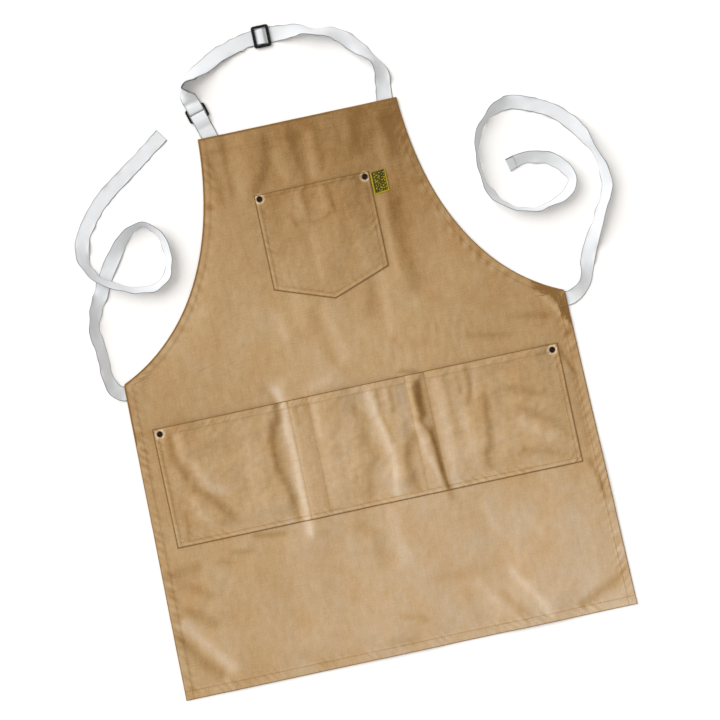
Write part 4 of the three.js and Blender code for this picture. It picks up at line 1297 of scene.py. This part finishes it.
# Radius and height in millimetres, from under the cap over its rolled rim to the post in its hollow.
CAP_PROFILE = [
    (0, 0), (4.3, 0), (4.7, 0.15), (4.75, 0.5), (4.6, 0.95), (4.2, 1.35), (3.6, 1.55), (3.1, 1.5),
    (2.75, 1.2), (2.4, 0.75), (1.9, 0.6), (1.4, 0.65), (1.1, 0.9), (0.8, 1.15), (0.4, 1.25), (0, 1.28),
]


def make_rivet(name, place, base):
    """A rolled cap with the end of its post in the middle of its hollow."""
    turns = 40
    vertices = [(0, 0, 0)]
    dark = [1.0]
    for radius, height in CAP_PROFILE[1:-1]:
        for around in turns_of(turns):
            vertices.append((radius * MM * math.cos(around), radius * MM * math.sin(around), height * MM))
            dark.append(float(step((4.5 - radius) / 0.5)))  # tarnished inside the rolled rim
    vertices.append((0, 0, CAP_PROFILE[-1][1] * MM))
    dark.append(0.6)
    last = len(vertices) - 1
    faces = []
    for k in range(turns):
        after = (k + 1) % turns
        faces.append((0, 1 + after, 1 + k))
        for row in range(len(CAP_PROFILE) - 3):
            a = 1 + row * turns
            faces.append((a + k, a + after, a + turns + after, a + turns + k))
        faces.append((last - turns + k, last - turns + after, last))
    cap = mesh_object(name + "_rolled_cap", vertices, faces)
    shade(cap, dark, "dark")
    cap.data.transform(Matrix.Translation((place[0], place[1], base)))
    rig.replaces(cap, name + "_cap")
    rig.slot(cap, "rivet_brass")
    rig.ride(cap, "apron")
    return cap


def make_rivets():
    """The four caps, each at the height of the cloth round it."""
    caps = []
    for name, (x, y) in RIVETS.items():
        reach = 4 * MM
        around = [cloth.height(x + a * reach, y + b * reach) for a, b in ((-1, 0), (1, 0), (0, -1), (0, 1))]
        caps.append(make_rivet(name, (x, y), sum(around) / 4 - 0.15 * MM))
    return caps


def label_gold(x, y, length, height):
    """Where the label's weft is gold: a border on three sides round a worn lattice of small lozenges."""
    right, top = length - x, height - y
    gold = (x > 0.0006) & (x < 0.003) | (right < 0.0019) | (y < 0.0022)
    inside = (x > 0.0038) & (right > 0.0026) & (y > 0.003) & (top > 0.0014)
    u, v = (x - 0.001) / 0.0036, y / 0.0042
    lozenge = np.abs(u % 1 - 0.5) + np.abs((v + 0.5 * (np.floor(u) % 2)) % 1 - 0.5)
    worn = ripples(x, y, 0.0042, 83, 14)
    return gold | inside & (lozenge + 0.13 * worn < 0.27) | inside & (worn > 1.6)


def label_rows(low, high):
    """Places from edge to edge of the label, fine enough for its threads."""
    return np.concatenate([[low], np.arange(low + 0.00015, high - 0.0001, 0.0003), [high - 0.00008, high]])


def make_label():
    """The woven label: a folded ribbon with its gold threads a little proud of the olive ground."""
    low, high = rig.box("woven_label")
    x0, x1, y0, y1 = low.x - 0.0011, high.x, low.y, high.y
    x, y = np.meshgrid(label_rows(x0, x1), label_rows(y0, y1))
    gold = label_gold(x - x0, y - y0, x1 - x0, y1 - y0)
    run = (x - x0) / (x1 - x0)
    rim = np.minimum(np.minimum(x - x0, x1 - x), np.minimum(y - y0, y1 - y))
    y = y + 0.0021 * run - 0.0008  # sewn in a little askew
    lift = 0.00045 * run ** 2 * (0.6 + 0.4 * ripples(x, y, 0.03, 81, 6))
    lift = lift + 0.00012 * ripples(x, y, 0.012, 82, 10)
    round_off = 0.00025 * (1 - np.sqrt(1 - (1 - np.clip(rim / 0.0004, 0, 1)) ** 2))
    top = high.z + lift + 0.00008 * gold - round_off
    bottom = low.z + lift + round_off
    label = cloth_object("label_ribbon", x, y, bottom, top)
    shade(label, [gold, gold], "gold")
    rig.replaces(label, "woven_label")
    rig.slot(label, "label")
    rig.ride(label, "label")
    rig.sheet(label, flat=(x1 - x0, y1 - y0), held="laid", rests_on=["apron_canvas"])
    return label


slider = make_slider()
ring = make_ring()
rivet_caps = make_rivets()
label = make_label()
neck_pieces = make_neck_tape()


# Materials

class Nodes:
    """A material's nodes, written as expressions. Values that don't vary are set on the shader itself."""

    def __init__(self, name, **values):
        self.material = bpy.data.materials.new(name)
        self.material.use_nodes = True
        self.tree = self.material.node_tree
        self.shader = self.tree.nodes["Principled BSDF"]
        for key, value in values.items():
            self.shader.inputs[key.replace("_", " ")].default_value = value

    def add(self, kind, inputs=None, **settings):
        node = self.tree.nodes.new("ShaderNode" + kind)
        for key, value in settings.items():
            setattr(node, key, value)
        for slot, value in (inputs or {}).items():
            self.put(node.inputs[slot], value)
        return node

    def put(self, socket, value):
        if isinstance(value, bpy.types.NodeSocket):
            self.tree.links.new(value, socket)
        else:
            socket.default_value = value

    def math(self, operation, a, b=0.0, c=0.0):
        return self.add("Math", {0: a, 1: b, 2: c}, operation=operation).outputs[0]

    def times(self, a, b):
        return self.math("MULTIPLY", a, b)

    def absolute(self, value):
        return self.math("ABSOLUTE", value)

    def wave(self, value, pitch):
        """A sine whose half wave is one pitch long."""
        return self.math("SINE", self.times(value, math.pi / pitch))

    def mix(self, factor, a, b, blend="MIX"):
        node = self.add("Mix", {0: factor, 6: a, 7: b}, data_type="RGBA", blend_type=blend)
        return node.outputs[2]

    def map(self, name="cloth"):
        node = self.add("UVMap", uv_map=name)
        return self.add("SeparateXYZ", {0: node.outputs[0]}).outputs[:2]

    def join(self, x, y, z=0.0):
        return self.add("CombineXYZ", {0: x, 1: y, 2: z}).outputs[0]

    def noise(self, vector, scale, detail=2.0, roughness=0.5):
        inputs = {"Vector": vector, "Scale": scale, "Detail": detail, "Roughness": roughness}
        return self.add("TexNoise", inputs).outputs[0]

    def streaks(self, u, v, wide, tall, detail=2.0):
        """Noise whose blots are wide by tall, in metres."""
        return self.noise(self.join(self.math("DIVIDE", u, wide), self.math("DIVIDE", v, tall)), 1.0, detail)

    def attribute(self, name):
        return self.add("Attribute", attribute_name=name).outputs["Fac"]

    def object_place(self):
        return self.add("TexCoord").outputs["Object"]

    def total(self, first, *rest):
        for value in rest:
            first = self.math("ADD", first, value)
        return first

    def span(self, value, low, high, to_low=0.0, to_high=1.0):
        node = self.add("MapRange", {0: value, 1: low, 2: high, 3: to_low, 4: to_high})
        return node.outputs[0]

    def ramp(self, value, stops):
        node = self.add("ValToRGB", {0: value})
        elements = node.color_ramp.elements
        while len(elements) < len(stops):
            elements.new(0.5)
        for element, (place, colour) in zip(elements, stops):
            element.position = place
            element.color = colour
        return node.outputs[0]

    def fade(self, value, low, high, a, b):
        """Colour a where value is low, through to b where it is high."""
        return self.mix(self.span(value, low, high), (*a, 1), (*b, 1))

    def scaled(self, colour, factor):
        node = self.add("VectorMath", {0: colour, "Scale": factor}, operation="SCALE")
        return node.outputs[0]

    def bump(self, height, distance, strength=1.0):
        node = self.add("Bump", {"Height": height, "Strength": strength, "Distance": distance})
        self.put(self.shader.inputs["Normal"], node.outputs[0])

    def colour(self, value):
        self.put(self.shader.inputs["Base Color"], value)

    def rough(self, value):
        self.put(self.shader.inputs["Roughness"], value)


def plain_weave(n, u, v, pitch):
    """The height of over-and-under threads, from 0 to 1."""
    across, along = n.wave(u, pitch), n.wave(v, pitch)
    over = n.times(across, along)
    warp = n.times(n.absolute(across), n.math("MULTIPLY_ADD", over, 0.4, 0.6))
    weft = n.times(n.absolute(along), n.math("MULTIPLY_ADD", over, -0.4, 0.6))
    return n.math("MAXIMUM", warp, weft)


CANVAS_TONES = (
    (0.0, (0.204, 0.107, 0.033, 1)),
    (0.21, (0.315, 0.186, 0.075, 1)),
    (0.49, (0.428, 0.287, 0.148, 1)),
    (0.7, (0.496, 0.367, 0.24, 1)),
    (1.0, (0.625, 0.51, 0.372, 1)),
)


def canvas_material():
    """Canvas whose tone follows its paleness, painted light and shade at seams, rim and folds, thread streaks and the
    weave.
    """
    n = Nodes("tan_canvas", Roughness=0.9, Sheen_Weight=0.04, Sheen_Roughness=0.5, Specular_IOR_Level=0.15)
    u, v = n.map()
    weave = plain_weave(n, u, v, 0.00052)
    weft = n.streaks(u, v, 0.030, 0.0016)
    warp = n.streaks(v, u, 0.040, 0.0016)
    grain = n.streaks(u, v, 0.0022, 0.0022, 3.0)
    cloud = n.streaks(u, v, 0.05, 0.07, 3.0)
    rub = n.streaks(u, v, 0.010, 0.016, 4.0)
    parts = ((weft, 0.035), (warp, 0.035), (grain, 0.075), (cloud, 0.07), (rub, 0.06))
    spans = [n.span(part, 0.25, 0.75, -reach, reach) for part, reach in parts]
    # the shade attribute holds the painted light and shade of the seams, rim and folds
    tone = n.total(n.attribute("pale"), n.attribute("shade"), *spans, n.span(weave, 0.2, 1.0, -0.08, 0.04))
    warmth = n.fade(cloud, 0.35, 0.65, (1.02, 1.0, 0.98), (0.98, 1.0, 1.02))
    n.colour(n.mix(1.0, n.ramp(tone, CANVAS_TONES), warmth, "MULTIPLY"))
    crinkle = n.math("MULTIPLY_ADD", rub, 10.0, n.times(grain, 2.2))
    n.bump(n.total(weave, crinkle, n.total(weft, warp)), 0.00012, 0.8)
    return n.material


def tape_material():
    """Herringbone tape, darkened to grey along its edges by painted shade."""
    n = Nodes(
        "white_twill_tape", Roughness=0.85, Sheen_Weight=0.15, Sheen_Roughness=0.5, Specular_IOR_Level=0.15)
    u, v = n.map()
    slant = n.total(n.times(n.absolute(u), 1.3), v)
    ribs = n.absolute(n.wave(slant, 0.0011))
    picks = n.absolute(n.wave(v, 0.0006))
    thread = n.streaks(u, v, 0.0006, 0.012)
    cloud = n.streaks(u, v, 0.02, 0.035, 3.0)
    # painted shade: a dark grey line along both edges of the tape
    edge = n.span(n.attribute("edge"), 0.87, 0.96)
    light = n.total(
        n.span(ribs, 0.0, 1.0, -0.05, 0.03),
        n.span(thread, 0.25, 0.75, -0.03, 0.03),
        n.span(cloud, 0.3, 0.7, -0.03, 0.03),
        n.times(edge, -0.3),
        1.0,
    )
    n.colour(n.scaled(n.mix(edge, (0.665, 0.69, 0.72, 1), (0.24, 0.24, 0.26, 1)), light))
    n.bump(n.math("MULTIPLY_ADD", picks, 0.4, ribs), 0.00012, 0.6)
    return n.material


def plastic_material():
    """Black plastic with a fine grain and worn patches."""
    n = Nodes("black_moulded_plastic", Specular_IOR_Level=0.14)
    place = n.object_place()
    grain = n.noise(place, 4200.0, 2.0)
    wear = n.noise(place, 260.0, 4.0, 0.6)
    n.colour(n.fade(wear, 0.4, 0.75, (0.002, 0.002, 0.002), (0.008, 0.008, 0.009)))
    n.rough(n.span(wear, 0.3, 0.7, 0.32, 0.5))
    n.bump(grain, 0.00005, 0.4)
    return n.material


def brass_material():
    """Worn metal, nearly black where it is tarnished."""
    n = Nodes("antique_bronze", Metallic=1.0)
    place = n.object_place()
    wear = n.noise(place, 900.0, 4.0, 0.6)
    dark = n.attribute("dark")
    bright = n.fade(wear, 0.35, 0.7, (0.2, 0.14, 0.08), (0.4, 0.3, 0.18))
    n.colour(n.mix(n.times(dark, 0.97), bright, (0.014, 0.009, 0.006, 1)))
    n.rough(n.span(wear, 0.3, 0.7, 0.4, 0.6))
    n.bump(wear, 0.00006, 0.4)
    return n.material


def label_material():
    """Olive ribbon with gold threads."""
    n = Nodes("woven_label_ribbon", Roughness=0.6, Specular_IOR_Level=0.12)
    u, v = n.map()
    weave = plain_weave(n, u, v, 0.0003)
    blot = n.streaks(u, v, 0.0015, 0.0015, 3.0)
    thread = n.streaks(u, v, 0.006, 0.0003)
    ground = n.fade(blot, 0.35, 0.65, (0.02, 0.018, 0.002), (0.07, 0.06, 0.006))
    gold = n.fade(blot, 0.35, 0.65, (0.26, 0.19, 0.006), (0.46, 0.36, 0.02))
    colour = n.mix(n.attribute("gold"), ground, gold)
    light = n.total(n.span(weave, 0.0, 1.0, -0.3, 0.1), n.span(thread, 0.25, 0.75, -0.1, 0.1), 1.0)
    n.colour(n.scaled(colour, light))
    n.bump(weave, 0.0001, 0.6)
    return n.material


def thread_material(name, low, high):
    """Twisted thread, blotched from one colour to another."""
    n = Nodes(name, Roughness=0.65, Sheen_Weight=0.1, Specular_IOR_Level=0.35)
    place = n.object_place()
    blot = n.noise(place, 700.0, 2.0)
    twist = n.noise(place, 5200.0, 2.0)
    n.colour(n.fade(blot, 0.35, 0.65, low, high))
    n.bump(twist, 0.00008, 0.5)
    return n.material


def dress(pieces, material):
    """Gives pieces one material."""
    for piece in pieces:
        piece.data.materials.clear()
        piece.data.materials.append(material)


def pale(x, y, base):
    """How pale the canvas is: least at the bib's right and most at the skirt's right."""
    heights = (-0.4, -0.26, -0.06, 0.08, 0.16, 0.23, 0.36, 0.4)
    fade = np.interp(y, heights, (0.64, 0.61, 0.55, 0.5, 0.44, 0.36, 0.2, 0.16))
    drift = np.interp(y, (-0.4, -0.2, 0.0, 0.1, 0.23, 0.36), (0.36, 0.13, 0.0, -0.22, -0.41, -0.88))
    away = np.interp(y, (-0.4, -0.15, 0.05, 0.15), (0.0, 0.1, 0.16, 0.0))
    middle = 0.05 * bell(x, y, (0, -0.09), 0.11)
    return fade + drift * x - away * np.clip(np.abs(x) / 0.3, 0, 1) ** 1.5 + middle + base


def pale_cloth(piece, base):
    """Gives a piece its paleness at each vertex."""
    places = np.array([v.co for v in piece.data.vertices])
    shade(piece, pale(places[:, 0], places[:, 1], base), "pale")


def dress_all():
    """Every piece's material."""
    for piece, base in ((panel, 0.0), (chest_pocket, -0.03), (waist_pocket, 0.0)):
        pale_cloth(piece, base)
    dress([panel, chest_pocket, waist_pocket], canvas_material())
    dress([*neck_pieces, *tie_pieces, tab], tape_material())
    dress([slider, ring], plastic_material())
    backs = [frame["nodes"][name + "_back"] for name in RIVETS]
    for back in backs:
        shade(back, [0.5] * len(back.data.vertices), "dark")
    dress([*rivet_caps, *backs], brass_material())
    dress([label], label_material())
    dress(threads[:3], thread_material("brown_thread", (0.27, 0.16, 0.07), (0.38, 0.24, 0.12)))
    dress(threads[3:], thread_material("tan_thread", (0.34, 0.22, 0.1), (0.45, 0.32, 0.17)))


dress_all()


# Floor and light

def make_floor():
    """A white table, which isn't part of the object."""
    side = 4.0
    corners = [(side * x, side * y, -0.0002) for x, y in ((-1, -1), (1, -1), (1, 1), (-1, 1))]
    floor = mesh_object("floor", corners, [(0, 1, 2, 3)], smooth=False)
    n = Nodes("white_floor", Roughness=0.9, Specular_IOR_Level=0.0)
    n.colour((0.9, 0.9, 0.9, 1))
    dress([floor], n.material)
    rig.stage(floor)


def make_light():
    """A broad sun from the apron's upper left, and a white sky."""
    elevation = math.radians(42)
    level = Vector((-AWAY[0], -AWAY[1], 0)) * math.cos(elevation)
    towards = Vector((level.x, level.y, math.sin(elevation)))
    sun = bpy.data.lights.new("sun", "SUN")
    sun.energy = 2.7
    sun.angle = math.radians(60)
    lamp = bpy.data.objects.new("sun", sun)
    lamp.rotation_euler = towards.to_track_quat("Z", "Y").to_euler()
    bpy.context.scene.collection.objects.link(lamp)
    world = bpy.data.worlds.new("sky")
    world.use_nodes = True
    sky = world.node_tree.nodes["Background"]
    sky.inputs["Color"].default_value = (1.0, 0.955, 0.9, 1)
    sky.inputs["Strength"].default_value = 0.665  # the sun gives the rest of the light
    bpy.context.scene.world = world
    bpy.context.scene.view_settings.view_transform = "Standard"


make_floor()
make_light()


def corners_of(box):
    return [[float(v) for v in corner] for corner in box]


with open("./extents.json", "w") as out:
    json.dump({"cad": corners_of(CAD_BOX), "visual": corners_of(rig.bounds())}, out)
